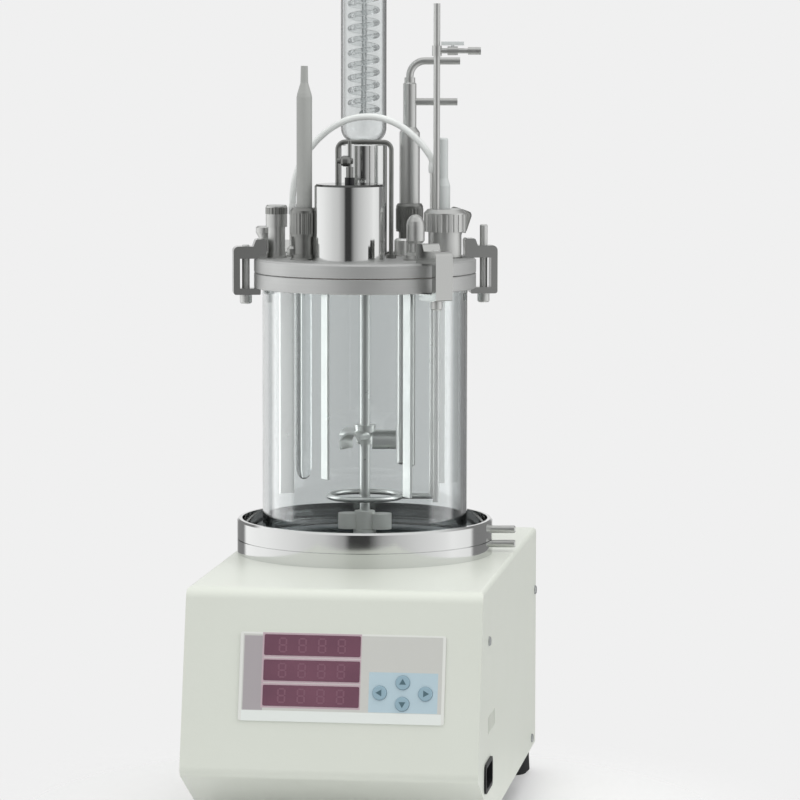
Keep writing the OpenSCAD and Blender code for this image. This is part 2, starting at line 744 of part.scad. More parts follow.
module bottom_pivot() {
    color([0.93, 0.93, 0.91]) at_jar() translate([0, 0, floor_z]) difference() {
        cylinder(r = 9, h = pivot_h);
        translate([0, 0, 2]) cylinder(r = pivot_r + running, h = pivot_h);
    }
}

// Cage of baffles under a ring. Both stay clear of the probes that hang in the jar.
baffle_low = 50;
baffle_turn = 36.8;
baffle_out = jar_bore_r - 2.5;
probe_gap = 0.8;
baffle_in = max(baffle_out - baffle_w, norm(electrode_port) + electrode_r + probe_gap);
cage_in = max(baffle_out - 8, norm(cooler_port) + cooler_r + probe_gap);
module baffle_cage() {
    ring_t = 3;
    color([0.8, 0.81, 0.82]) at_jar() {
        translate([0, 0, plate_z - ring_t]) tube(baffle_out, cage_in, ring_t);
        for (i = [0:baffles - 1]) rotate([0, 0, baffle_turn + i * 360 / baffles])
            translate([baffle_in, -1, baffle_low])
                cube([baffle_out - baffle_in - 0.2, 2, plate_z - ring_t - baffle_low + eps]);
    }
}

// Air ring with its down pipe, which ends as a nipple above the large port
sparge_place = multi_place + sparge_offset;
sparge_pipe_r = 2.2;
sparger_z = 44;
nipple_top = head_z + 71;
module sparger() {
    start = [sparge_place[0], sparge_place[1], nipple_top];
    corner = [sparge_place[0], sparge_place[1], sparger_z];
    along = unit(sparge_place) * sparger_r;
    color([0.66, 0.67, 0.68]) at_jar() difference() {
        union() {
            translate([0, 0, sparger_z]) rotate_extrude() translate([sparger_r, 0])
                circle(r = sparge_pipe_r);
            bar(corner, start, sparge_pipe_r);
            bar(corner, [along[0], along[1], sparger_z], sparge_pipe_r);
            translate(corner) sphere(r = sparge_pipe_r);
        }
        for (a = [15:30:345]) rotate([0, 0, a]) translate([sparger_r, 0, sparger_z + 0.6])
            cylinder(r = 0.5, h = 4);
        translate([sparge_place[0], sparge_place[1], sparger_z + 4]) cylinder(r = 1.3, h = nipple_top);
    }
}

// Closed well for a temperature probe, with a nut on the head plate
module temperature_well() {
    well_r = 4.5;
    low = 66 - head_z;
    nut_h = 13.5;
    color([0.62, 0.63, 0.64]) on_head(well_place)
        turned([[0, low], [well_r - 1.5, low], [well_r, low + 1.5], [well_r, 0], [7, 0],
                [7, nut_h - 1.5], [5.5, nut_h], [0, nut_h]]);
}

// ---------------------------------------------------------------- fittings on the head
// A quarter bend from +X to +Y
module elbow(bend, r) {
    rotate_extrude(angle = 90) translate([bend, 0]) circle(r = r);
}

module lift_handle() {
    bend = 6;
    color([0.5, 0.51, 0.5]) on_head([0, handle_y]) {
        for (s = [-1, 1]) {
            translate([s * handle_half, 0, 3 - plate_t])
                cylinder(r = handle_rod_r, h = handle_h - bend + plate_t - 3);
            translate([s * handle_half, 0, 0]) cylinder(r = 4, h = 3);
            translate([s * (handle_half - bend), 0, handle_h - bend]) rotate([90, 0, 0])
                rotate([0, 0, s > 0 ? 0 : 90]) elbow(bend, handle_rod_r);
        }
        translate([bend - handle_half, 0, handle_h]) rotate([0, 90, 0])
            cylinder(r = handle_rod_r, h = 2 * (handle_half - bend));
    }
}

module filter_can() {
    wall = 1.5;
    color([0.85, 0.86, 0.87]) on_head(can_place)
        turned([[1.5, 4 - plate_t], [3 - fit, 4 - plate_t], [3 - fit, 0], [can_r, 0], [can_r, can_h - 1.5],
                [can_r - 1.5, can_h], [1.5, can_h], [1.5, can_h - wall], [can_r - wall, can_h - wall],
                [can_r - wall, wall], [1.5, wall]]);
}

// Vent fitting on the can: a nut, a stem, a side knob and a needle
module filter_fitting() {
    color([0.16, 0.16, 0.16]) on_head(can_place) translate([0, 0, can_h])
        turned([[0, 0], [3.8, 0], [3.8, 5], [0, 5]]);
    color([0.45, 0.46, 0.45]) on_head(can_place) translate([0, 0, can_h]) {
        turned([[0, 5], [2.8, 5], [2.8, 13], [1.4, 13], [1.4, 33], [0, 33.6]]);
        translate([-9.5, 0, 17.5]) rotate([0, 90, 0])
            turned([[0, 0], [2, 0], [2, 2.4], [3.4, 3.2], [4.2, 4.6], [4.2, 8.4], [3.4, 9.8], [2.2, 10.6],
                    [2.2, 12], [0, 12]]);
    }
}

// ---------------------------------------------------------------- exhaust condenser
glass_wall = 1.8;
stem_r = 7;
glass_low = cup_h;
condenser_cup_r = condenser_r + 0.6;
module condenser_cup() {
    wall = 1.5;
    color([0.82, 0.83, 0.84]) on_head(condenser_place)
        turned([[stem_r + 0.3, 0], [condenser_cup_r + 4, 0], [condenser_cup_r + 4, 3], [condenser_cup_r, 3],
                [condenser_cup_r, cup_h - 1], [condenser_cup_r - 1, cup_h], [stem_r + 0.3, cup_h],
                [stem_r + 0.3, cup_h - 3], [condenser_cup_r - wall, cup_h - 3], [condenser_cup_r - wall, 3],
                [stem_r + 0.3, 3]]);
}

// Glass shell with a round bottom on a stem, and a shoulder with a vent neck at the top.
// The two ends of the cooling coil leave through the shoulder.
condenser_top = glass_low + condenser_l;
coil_r = 10.5;
coil_tube_r = 2.1;
coil_exit = 2;
coil_low = glass_low + 27;
coil_turns = floor((condenser_l - 52) / coil_pitch);
coil_high = coil_low + coil_turns * coil_pitch;
neck_l = 22;

module condenser_outline(r, low, high, neck, foot) {
    intersection() {
        rounded([[0, low], [r, low], [r, high], [0, high]], [0, r * 0.7, r * 0.6, 0]);
        translate([0, low]) square([r, high - low]);
    }
    polygon([[0, foot], [neck, foot], [neck, low + 2], [0, low + 2]]);
}
module condenser_glass() {
    color([0.82, 0.9, 0.92, 0.35]) on_head(condenser_place) difference() {
        rotate_extrude() difference() {
            union() {
                condenser_outline(condenser_r, glass_low + 0.1, condenser_top, stem_r, 2 - plate_t);
                polygon([[0, condenser_top - 2], [5, condenser_top - 2], [5, condenser_top + neck_l],
                         [0, condenser_top + neck_l]]);
            }
            condenser_outline(condenser_r - glass_wall, glass_low + 0.1 + glass_wall,
                              condenser_top - glass_wall, stem_r - glass_wall, 1 - plate_t);
            polygon([[0, condenser_top - 3], [3.4, condenser_top - 3], [3.4, condenser_top + neck_l + 1],
                     [0, condenser_top + neck_l + 1]]);
        }
        for (p = [[coil_r, coil_exit], [-coil_r, 0]]) translate([p[0], p[1], condenser_top - 30])
            cylinder(r = coil_tube_r + 0.3, h = 60);
    }
}

// Height of the coil at an angle, and radius of the spiral that leads into it from -150 degrees
function coil_z(a) = coil_low + coil_pitch * a / 360;
function spiral_r(a) = coil_r * (1 + a / 150);
coil_sides = 8;
coil_steps = 16;
// A closed tube of round section swept along points. Its rings don't twist.
module sweep(path, r, sides) {
    n = len(path);
    dirs = [for (i = [0:n - 1]) unit(path[min(i + 1, n - 1)] - path[max(i - 1, 0)])];
    across = cross(dirs[0], abs(dirs[0][2]) < 0.9 ? [0, 0, 1] : [0, 1, 0]);
    frame_u = [for (i = 0, u = unit(across); i < n;
                    i = i + 1, d = dirs[min(i, n - 1)], u = unit(u - (u * d) * d)) u];
    rings = [for (i = [0:n - 1], k = [0:sides - 1])
        let (u = frame_u[i], v = cross(u, dirs[i]), a = k * 360 / sides)
        path[i] + r * (cos(a) * u + sin(a) * v)];
    polyhedron(rings, concat(
        [for (i = [0:n - 2], k = [0:sides - 1])
            let (a = i * sides + k, b = i * sides + (k + 1) % sides)
            each [[a, a + sides, b + sides], [a, b + sides, b]]],
        [[for (k = [0:sides - 1]) k]],
        [[for (k = [sides - 1:-1:0]) (n - 1) * sides + k]]));
}

// One tube: down the middle, out along a spiral, up the coil and out through the shoulder
module condenser_coil() {
    top = condenser_top + 14;
    spiral = [for (a = [-150:25:-25]) [spiral_r(a) * cos(a), spiral_r(a) * sin(a), coil_z(a)]];
    coil = [for (i = [0:coil_turns * coil_steps]) let (a = i * 360 / coil_steps)
        [coil_r * cos(a), coil_r * sin(a), coil_z(a)]];
    color([0.75, 0.85, 0.88, 0.5]) on_head(condenser_place) sweep(concat(
        [[-coil_r, 0, top], [-coil_r, 0, coil_high + 18], [1.5 - coil_r, 0, coil_high + 14],
         [-1.5, 0, coil_high + 9], [0, 0, coil_high + 5], [0, 0, coil_low]],
        spiral, coil, [[coil_r, coil_exit, coil_high + 3], [coil_r, coil_exit, top]]),
        coil_tube_r, coil_sides);
}

// ---------------------------------------------------------------- ports and tubes
gland_h = 40;
module gland(r_bore) {
    turned([[r_bore, 0], [10, 0], [10, 4], [8.5, 4], [8.5, 18], [10.6, 18], [10.6, gland_h - 2],
            [9.4, gland_h], [r_bore, gland_h]]);
}
module port_glands() {
    color([0.5, 0.51, 0.5]) {
        on_head(electrode_port) gland(electrode_r + fit);
        on_head(cooler_port) gland(cooler_r + fit);
    }
}

// Electrode: a glass shaft with a bulb, a slimmer body above its shoulder and a plug end
module ph_electrode() {
    low = 60 - head_z;
    color([0.62, 0.63, 0.64]) on_head(electrode_port)
        turned([[0, low], [2.5, low + 0.6], [4.5, low + 3], [electrode_r, low + 8], [electrode_r, 125],
                [electrode_r - 0.6, 128], [3, 136], [2.7, 149], [0, 149]]);
}

spare_r = 8.3;
spare_h = 33;
module spare_port() {
    color([0.66, 0.67, 0.66]) on_head(spare_place)
        turned([[4, 1 - plate_t], [5 - fit, 1 - plate_t], [5 - fit, 0], [spare_r - 1, 0], [spare_r - 1, 4],
                [spare_r - 1.6, 4], [spare_r - 1.6, spare_h], [4, spare_h]]);
}
module spare_port_cap() {
    low = 24;
    color([0.3, 0.31, 0.3]) on_head(spare_place)
        turned([[spare_r - 1.6 + running, low], [spare_r, low], [spare_r, spare_h + 7],
                [spare_r - 1, spare_h + 8], [0, spare_h + 8], [0, spare_h + 0.3],
                [spare_r - 1.6 + running, spare_h + 0.3]]);
}

module parking_post() {
    color([0.6, 0.61, 0.6]) on_head(post_place)
        turned([[0, 0], [3.8, 0], [3.8, 2], [3, 3.5], [3.2, 12], [6.8, 18.5], [6.8, 22.3], [5.4, 23.5],
                [0, 23.5]]);
}

nipple_neck = 38;
module tube_nipple() {
    color([0.55, 0.56, 0.55]) on_head(nipple_place)
        turned([[1.3, 1 - plate_t], [3 - fit, 1 - plate_t], [3 - fit, 0], [4.6, 0], [4.6, 6], [2.6, 8],
                [2.6, nipple_neck], [1.3, nipple_neck]]);
}

// Route of the silicone tube from the small nipple to the air nipple, above the head plate
hose_route = [
    [-58, 6, 38], [-58, 6, 44], [-57.5, 6, 52], [-56, 6, 61], [-53, 6, 70], [-49, 6, 78],
    [-43, 6, 86], [-36, 6, 93.5], [-28, 6, 100], [-19, 6, 105], [-10, 6, 108], [0, 6, 109.3],
    [10, 6, 108.6], [20, 6, 105.6], [29, 6, 100.8], [37, 6, 94.4], [44, 5.8, 87.4], [48.6, 5.4, 81.5],
    [51.5, 5.2, 76.5], [52.3, 5.1, 72.5], [52.3, 5.1, 71]
];
module silicone_tube() {
    color([0.92, 0.93, 0.93, 0.7]) at_jar() translate([0, 0, head_z]) sweep(hose_route, hose_r, 10);
}

// Cooler: a closed finger in the jar, with a bent outlet on top and a side inlet
cooler_h = 135;
cooler_wide_r = 8;
cooler_wide_h = 96;
cooler_arm_r = 2.9;
cooler_neck = 5;
cooler_turn = 7.8;
module cooler_tube() {
    bend = 12;
    reach = 39.5;
    color([0.62, 0.63, 0.62]) on_head(cooler_port) {
        turned([[0, 62 - head_z], [cooler_r - 1.5, 62 - head_z], [cooler_r, 63.5 - head_z],
                [cooler_r, gland_h + 0.1], [cooler_wide_r, gland_h + 0.1], [cooler_wide_r, cooler_wide_h],
                [cooler_r, cooler_wide_h + 4], [cooler_r, cooler_h - 1], [cooler_r - 1, cooler_h],
                [0, cooler_h]]);
        rotate([0, 0, cooler_turn]) {
            translate([0, 0, cooler_h - eps]) cylinder(r = cooler_arm_r + 1.3, h = 4);
            translate([0, 0, cooler_h]) cylinder(r = cooler_arm_r, h = cooler_neck);
            translate([bend, 0, cooler_h + cooler_neck]) rotate([90, 0, 0]) rotate([0, 0, 90])
                elbow(bend, cooler_arm_r);
            translate([bend, 0, cooler_h + cooler_neck + bend]) rotate([0, 90, 0])
                cylinder(r = cooler_arm_r, h = reach - bend);
            translate([0, 0, cooler_h - 15]) rotate([0, 90, 0])
                cylinder(r = cooler_arm_r, h = reach - 2);
        }
    }
}

module dome_port() {
    r = 7.1;
    color([0.66, 0.67, 0.66]) on_head(dome_place)
        turned([[0, 1 - plate_t], [5 - fit, 1 - plate_t], [5 - fit, 0], [r + 1.4, 0], [r + 1.4, 4],
                [5.2, 6], [5.2, 13], [r, 15], [r, 27], [r * 0.92, 30], [r * 0.7, 33], [r * 0.38, 34.8],
                [0, 35.4]]);
}

// Large port: a collar and a knurled nut that holds three tubes
multi_h = 38;
multi_r = 16.4;
sleeve_root_r = 4.4;
module multi_port() {
    color([0.6, 0.61, 0.6]) on_head(multi_place) difference() {
        turned([[0, 2 - plate_t], [13 - fit, 2 - plate_t], [13 - fit, 20.5], [multi_r, 20.5],
                [multi_r, multi_h - 3], [multi_r - 3, multi_h], [0, multi_h]]);
        for (a = [0:15:345]) rotate([0, 0, a]) translate([multi_r + 0.7, 0, 19.5])
            cylinder(r = 1.3, h = multi_h - 23.5);
        for (h = [[sparge_offset, sparge_pipe_r], [sample_offset, sample_r],
                  [sleeve_offset, sleeve_root_r]])
            translate([h[0][0], h[0][1], -plate_t]) cylinder(r = h[1] + fit, h = multi_h + 20);
    }
}

// Sampling tube with a side arm, which ends as a hose nipple
sample_h = 197;
arm_h = 160.5;
arm_l = 24;
sample_turn = 7.8;
cock_at = 12.2;
cock_plug_r = 1.2;
module sample_tube() {
    low = 40 - head_z;
    color([0.6, 0.61, 0.6]) on_head(multi_place + sample_offset) difference() {
        union() {
            translate([0, 0, low]) cylinder(r = sample_r, h = sample_h - low);
            rotate([0, 0, sample_turn]) translate([0, 0, arm_h]) rotate([0, 90, 0]) {
                cylinder(r = 2, h = arm_l);
                translate([0, 0, cock_at - 4]) cylinder(r = 3.4, h = 8);
                translate([0, 0, arm_l - eps]) cylinder(r = 3, h = 10);
            }
            translate([0, 0, arm_h - 4]) cylinder(r = sample_r + 1.2, h = 8);
        }
        rotate([0, 0, sample_turn]) translate([cock_at, 0, arm_h + 0.6])
            cylinder(r = cock_plug_r + running, h = 10);
    }
}

// Stopcock of the arm: a plug with a wing above it
module sample_cock() {
    color([0.86, 0.87, 0.87]) on_head(multi_place + sample_offset) rotate([0, 0, sample_turn])
        translate([cock_at, 0, arm_h]) {
            translate([0, 0, 0.8]) cylinder(r = cock_plug_r, h = 4);
            translate([-8.8, -1.3, 4.2]) cube([17.6, 2.6, 3]);
        }
}

module stepped_sleeve() {
    color([0.85, 0.87, 0.86]) on_head(multi_place + sleeve_offset)
        turned([[0, 1 - plate_t], [sleeve_root_r, 1 - plate_t], [sleeve_root_r, multi_h + 0.05],
                [6.9, multi_h + 0.05], [6.9, multi_h + 18], [5.2, multi_h + 24], [5.2, multi_h + 54],
                [4.4, multi_h + 55], [0, multi_h + 55]]);
}

module at_inoculation() {
    out = atan2(inoculation_place[1], inoculation_place[0]);
    on_head(inoculation_place) rotate([0, 0, out]) rotate([0, inoculation_lean, 0]) children();
}
// Inclined neck, cut flat where it stands on the head plate
inoculation_r = 6;
inoculation_l = 32.5;
module inoculation_port() {
    color([0.6, 0.61, 0.6]) difference() {
        at_inoculation() translate([0, 0, -8]) tube(inoculation_r, 4, inoculation_l + 8);
        on_head(inoculation_place) translate([-30, -30, -40]) cube([60, 60, 40]);
    }
}
module inoculation_cap() {
    r = inoculation_r + running;
    l = inoculation_l;
    color([0.34, 0.35, 0.34]) at_inoculation()
        turned([[r, l - 11], [8.6, l - 11], [8.6, l + 4], [7.4, l + 5.5], [0, l + 5.5], [0, l + 0.3],
                [r, l + 0.3]]);
}

housing_cover();
chassis_base();
rear_panel();
front_overlay();
display_windows();
key_left();
key_up();
key_down();
key_right();
feet();
cover_screws();
side_grips();
drive_motor();
drive_yoke();
control_board();
power_supply();
power_inlet();
rocker_switch();
ring_base();
ring_collar();
heater_mat();
base_nipples();
glass_jar();
jar_flange();
head_seal();
head_plate();
clamp_frames();
clamp_bolt_1();
clamp_bolt_2();
clamp_bolt_3();
clamp_bolt_4();
stirrer_shaft();
impeller();
magnet_foot();
top_bearing();
bottom_pivot();
baffle_cage();
sparger();
temperature_well();
lift_handle();
filter_can();
filter_fitting();
condenser_cup();
condenser_glass();
condenser_coil();
ph_electrode();
port_glands();
spare_port();
spare_port_cap();
parking_post();
tube_nipple();
silicone_tube();
cooler_tube();
dome_port();
multi_port();
sample_tube();
sample_cock();
stepped_sleeve();
inoculation_port();
inoculation_cap();
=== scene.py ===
# %% [markdown]
# # Dressing a bench bioreactor
# A stirred glass jar stands on a painted control cabinet. The construction is already modelled as
# solids at their real size, and this lesson gives every surface its finish, adds the fine pieces
# that a solid leaves out, and lights the whole as on a plain studio table. The first cell loads
# the solids. They stay where they are: an object is dressed, added to or replaced, never moved.

# %% Load the frame
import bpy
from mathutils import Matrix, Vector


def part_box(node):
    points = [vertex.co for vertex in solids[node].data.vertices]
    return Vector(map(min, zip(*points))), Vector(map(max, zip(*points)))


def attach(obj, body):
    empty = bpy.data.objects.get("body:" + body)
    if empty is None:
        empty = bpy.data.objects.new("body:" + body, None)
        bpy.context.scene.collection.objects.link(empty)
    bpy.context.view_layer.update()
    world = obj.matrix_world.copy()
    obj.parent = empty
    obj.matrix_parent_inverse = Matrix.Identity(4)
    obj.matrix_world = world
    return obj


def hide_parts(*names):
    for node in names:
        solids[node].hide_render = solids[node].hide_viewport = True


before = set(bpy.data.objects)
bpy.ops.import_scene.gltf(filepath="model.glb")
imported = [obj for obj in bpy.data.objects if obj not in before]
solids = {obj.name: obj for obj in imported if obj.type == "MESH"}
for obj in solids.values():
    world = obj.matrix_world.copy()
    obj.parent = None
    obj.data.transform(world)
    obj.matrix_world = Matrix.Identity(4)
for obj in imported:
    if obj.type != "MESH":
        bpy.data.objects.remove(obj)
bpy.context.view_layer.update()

import bmesh
import bpy
import math
from mathutils import Matrix, Vector

MM = 0.001
scene = bpy.context.scene

# %% [markdown]
# The main places are worked out from the boxes of the solids. The jar's axis comes first, because
# ring, jar and head plate share it, and everything on the head is measured from it.

# %% Main places
def middle(name):
    low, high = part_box(name)
    return (low + high) / 2


def top(name):
    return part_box(name)[1].z


jar_axis = middle("glass_jar")
cabinet_top = top("housing_cover")
head_top = top("head_plate")
print("jar axis in mm:", [round(x / MM, 1) for x in jar_axis[:2]])
print("head plate top in mm:", round(head_top / MM, 1))

# %% [markdown]
# The camera is a long lens a few metres away, a little to the right of the object and a little
# above its middle, the way small laboratory devices are usually shown. A long lens keeps the
# upright lines of the jar and the cabinet nearly parallel.

# %% Camera
def towards(turn, rise):
    """Direction from the object to a viewer who stands turn degrees to the right, rise degrees up."""
    a, e = math.radians(turn), math.radians(rise)
    return Vector((math.sin(a) * math.cos(e), -math.cos(a) * math.cos(e), math.sin(e)))


# Degrees to the right, up, and round the line of sight
VIEW_TURN = 7.8
VIEW_RISE = 5.65
VIEW_ROLL = 0.1
# Metres from the aim, and the aim in mm from the jar's axis and the top of the cabinet
VIEW_DISTANCE = 3.138
AIM = (25.3, 17, 117.8)
aim = Vector((jar_axis.x + AIM[0] * MM, jar_axis.y + AIM[1] * MM, cabinet_top + AIM[2] * MM))
lens = bpy.data.cameras.new("camera")
lens.sensor_width = 36
lens.lens = 180
camera = bpy.data.objects.new("camera", lens)
back = towards(VIEW_TURN, VIEW_RISE)
camera.location = aim + back * VIEW_DISTANCE
camera.rotation_mode = "QUATERNION"
roll = Matrix.Rotation(math.radians(VIEW_ROLL), 3, back)
camera.rotation_quaternion = (roll @ (-back).to_track_quat("-Z", "Y").to_matrix()).to_quaternion()
scene.collection.objects.link(camera)
scene.camera = camera
scene.view_settings.view_transform = "Standard"
print("camera at mm:", [round(x / MM) for x in camera.location])

# %% [markdown]
# A few helpers carry all the materials. The first turns a colour as it is picked on a screen into
# the linear numbers that a renderer adds up. "add" makes any node, sets its fields and sockets, and
# links it, so that a material reads as a short list of what feeds what. "ramp" and "blend" choose
# between colours, "material" starts from the usual Principled shader, and "feed" links into it.

# %% Colour and node helpers
def linear(code):
    """An sRGB colour such as "#C8CCCB" as linear RGBA."""
    parts = [int(code[i:i + 2], 16) / 255 for i in (1, 3, 5)]
    return [x / 12.92 if x <= 0.04045 else ((x + 0.055) / 1.055) ** 2.4 for x in parts] + [1.0]


def grey(level):
    return [level, level, level, 1.0]


def add(tree, kind, sockets=None, **fields):
    """A new node of that kind. fields are its settings; sockets maps an input to a value or an output."""
    made = tree.nodes.new("ShaderNode" + kind)
    for name, value in fields.items():
        setattr(made, name, value)
    for name, value in (sockets or {}).items():
        if isinstance(value, bpy.types.NodeSocket):
            tree.links.new(value, made.inputs[name])
        else:
            made.inputs[name].default_value = value
    return made


def ramp(tree, place, stops, blend="LINEAR"):
    """The colour output of a Color Ramp with stops of (place, linear colour)."""
    made = add(tree, "ValToRGB", {"Fac": place})
    made.color_ramp.interpolation = blend
    line = made.color_ramp.elements
    while len(line) < len(stops):
        line.new(0.5)
    for element, (where, colour) in zip(line, stops):
        element.position = where
        element.color = colour
    return made.outputs["Color"]


def blend(tree, factor, first, second):
    """The first colour where the factor is 0, the second where it is 1, and a mix in between."""
    mix = add(tree, "Mix", {"Factor": factor, "A": first, "B": second}, data_type="RGBA")
    return mix.outputs["Result"]


def material(name, code, roughness, metallic=0.0, **sockets):
    """A Principled material. Other sockets are given with underscores, such as Coat_Weight=0.5."""
    made = bpy.data.materials.new(name)
    made.use_nodes = True
    shader = made.node_tree.nodes["Principled BSDF"]
    made.diffuse_color = linear(code)
    shader.inputs["Base Color"].default_value = linear(code)
    shader.inputs["Roughness"].default_value = roughness
    shader.inputs["Metallic"].default_value = metallic
    for socket, value in sockets.items():
        shader.inputs[socket.replace("_", " ")].default_value = value
    return made, made.node_tree, shader


def feed(tree, shader, **outputs):
    """Link outputs to the shader's sockets, which are named as in material."""
    for socket, output in outputs.items():
        tree.links.new(output, shader.inputs[socket.replace("_", " ")])

# %% [markdown]
# New pieces are shaped in bmesh, Blender's mesh workshop. Most parts of a device like this are
# turned, so the first helper spins an outline round an upright axis, as a lathe does. "piece" makes
# a finished mesh an object with smooth rounds and crisp corners, and lets it ride on one of the
# model's bodies. A hose or a glass coil is a curve with a round section one metre in radius, which
# each knot's own radius scales down, so that the curve's box fits the tube.

# %% Shape helpers
# Points closer together than this many mm are one point
SAME_POINT = 0.002


def spun(outline, steps=48):
    """A turned shape in metres from (radius, height) points in mm, round the Z axis."""
    shape = bmesh.new()
    knots = [shape.verts.new((r * MM, 0, z * MM)) for r, z in outline]
    line = [shape.edges.new(pair) for pair in zip(knots, knots[1:])]
    bmesh.ops.spin(shape, geom=knots + line, cent=(0, 0, 0), axis=(0, 0, 1), dvec=(0, 0, 0),
                   angle=2 * math.pi, steps=steps, use_merge=True, use_duplicate=False)
    bmesh.ops.remove_doubles(shape, verts=shape.verts, dist=SAME_POINT * MM)
    bmesh.ops.recalc_face_normals(shape, faces=shape.faces)
    return shape


def join(*shapes):
    """One bmesh with everything that is in the others, which are used up."""
    whole = bmesh.new()
    for shape in shapes:
        part = bpy.data.meshes.new("part")
        shape.to_mesh(part)
        shape.free()
        whole.from_mesh(part)
        bpy.data.meshes.remove(part)
    return whole


def moved(shape, matrix):
    """The same shape after that matrix."""
    bmesh.ops.transform(shape, matrix=matrix, verts=shape.verts)
    return shape


def piece(name, shape, body, sharp=35):
    """The shape as an object that rides on the body, with edges crisp above sharp degrees."""
    mesh = bpy.data.meshes.new(name)
    shape.to_mesh(mesh)
    shape.free()
    mesh.shade_smooth()
    mesh.set_sharp_from_angle(angle=math.radians(sharp))
    made = bpy.data.objects.new(name, mesh)
    scene.collection.objects.link(made)
    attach(made, body)
    print(name, "has", len(mesh.polygons), "faces on", body)
    return made


def pipe(name, route, radius, body):
    """A smooth round tube of that radius in mm along a route of points in metres."""
    line = bpy.data.curves.new(name, "CURVE")
    line.dimensions = "3D"
    line.bevel_depth = 1.0
    line.bevel_resolution = 5
    line.resolution_u = 5
    line.use_fill_caps = True
    thread = line.splines.new("BEZIER")
    thread.bezier_points.add(len(route) - 1)
    for knot, place in zip(thread.bezier_points, route):
        knot.co = place
        knot.handle_left_type = knot.handle_right_type = "AUTO"
        knot.radius = radius * MM
    made = bpy.data.objects.new(name, line)
    scene.collection.objects.link(made)
    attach(made, body)
    print(name, "has", len(route), "knots on", body)
    return made


def on_head(x, y, z):
    """A point in mm from the jar's axis and the top of the head plate."""
    return Vector((jar_axis.x + x * MM, jar_axis.y + y * MM, head_top + z * MM))


def standing(shape, place):
    """The shape with its foot on the head plate, at a place in mm from the jar's axis."""
    return moved(shape, Matrix.Translation(on_head(*place, 0)))


# %% [markdown]
# ## Silicone hose
# A soft hose carries air from the small nipple at the left over the head to the pipe in the large
# port. It is shown from end to end: about 17 centimetres, cut to fit. It leaves both nipples upright
# and springs up in one plain arch, because silicone this short holds its own weight. At both ends
# it is stretched over its nipple, which shows as a slightly thicker cuff.

# %% Hose and cuffs
HOSE_RADIUS = 2.6
# Points in mm from the jar's axis and the top of the head plate
HOSE_ROUTE = [
    (-58, 6, 38), (-58, 6, 44), (-57.5, 6, 52), (-56, 6, 61), (-53, 6, 70), (-49, 6, 78), (-43, 6, 86),
    (-36, 6, 93.5), (-28, 6, 100), (-19, 6, 105), (-10, 6, 108), (0, 6, 109.3), (10, 6, 108.6),
    (20, 6, 105.6), (29, 6, 100.8), (37, 6, 94.4), (44, 5.8, 87.4), (48.6, 5.4, 81.5),
    (51.5, 5.2, 76.5), (52.3, 5.1, 72.5), (52.3, 5.1, 71)]
# Radius and height of the cuff's outline, in mm from the end of the hose
CUFF = [(2.3, -5), (2.9, -5), (3.25, -4.5), (3.3, 0), (3.1, 2), (2.65, 3.4), (2.3, 3.4), (2.3, -5)]
route = [on_head(*place) for place in HOSE_ROUTE]
hose = pipe("silicone_hose", route, HOSE_RADIUS, "base")
both_cuffs = [moved(spun(CUFF, steps=32), Matrix.Translation(end)) for end in (route[0], route[-1])]
cuffs = piece("hose_cuffs", join(*both_cuffs), "base")
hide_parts("silicone_tube")

# %% [markdown]
# The studio is a white tent. What the lamps and the sky give the paint is even and soft. What the
# steel and the glass mirror is another matter: white walls stand to the left and the right, with
# dark gaps at the camera and at the rear corners, because steel without a dark stripe looks like
# grey plastic. The sky below gives those walls to mirrored rays only, by their compass direction
# from the camera's, and turns into a pale ceiling high up. The camera, and what is seen through
# glass, get a plain pale backdrop.

# %% Studio sky
BACKDROP = linear("#F0F0F0")
SKY_LEVEL = 0.74
CEILING = grey(0.9)
# How far up a ray points where the ceiling begins and where it has taken over; 1 is straight up
CEILING_BEGINS = 0.55
CEILING_FULL = 0.85
# Compass direction in degrees from the camera, to the right, and the brightness of the tent there
TENT = [(-180, 0.86), (-172, 0.86), (-162, 0.25), (-140, 0.25), (-134, 1.17), (-98, 1.10), (-64, 0.90),
        (-57, 0.84), (-36, 0.72), (-18, 0.40), (-13, 0.05), (4, 0.05), (10, 0.25), (16, 0.45), (31, 0.66),
        (50, 0.82), (60, 0.88), (80, 1.02), (85, 1.10), (111, 1.00), (116, 0.25), (162, 0.25),
        (172, 0.86), (180, 0.86)]
# The same walls for clear glass, brighter in places because it sends back only a few percent
STRIPS = [(-180, 0.86), (-162, 0.86), (-130, 0.8), (-126, 3.0), (-92, 3.0), (-86, 0.7), (-40, 0.5),
          (0, 0.2), (44, 0.5), (78, 0.7), (84, 2.6), (114, 2.6), (120, 0.3), (160, 0.3),
          (170, 0.86), (180, 0.86)]

world = bpy.data.worlds.new("studio")
world.use_nodes = True
scene.world = world
sky = world.node_tree
sky.nodes.clear()
ray = add(sky, "LightPath")
looking = add(sky, "TexCoord").outputs["Generated"]
facing = add(sky, "VectorRotate", {"Vector": looking, "Angle": math.radians(-VIEW_TURN)},
             rotation_type="Z_AXIS")
compass = add(sky, "SeparateXYZ", {"Vector": facing.outputs["Vector"]})
away = add(sky, "Math", {0: compass.outputs["Y"], 1: -1.0}, operation="MULTIPLY")
bearing = add(sky, "Math", {0: compass.outputs["X"], 1: away.outputs["Value"]}, operation="ARCTAN2")
around = add(sky, "MapRange", {
    "Value": bearing.outputs["Value"], "From Min": -math.pi, "From Max": math.pi})
on_steel, on_glass = (ramp(sky, around.outputs["Result"], [
    ((deg + 180) / 360, grey(level)) for deg, level in stops]) for stops in (TENT, STRIPS))
walls = blend(sky, ray.outputs["Is Singular Ray"], on_steel, on_glass)
height = ramp(sky, compass.outputs["Z"], [
    (0.0, grey(0.0)), (CEILING_BEGINS, grey(0.0)), (CEILING_FULL, grey(1.0))])
mirrored = blend(sky, height, walls, CEILING)
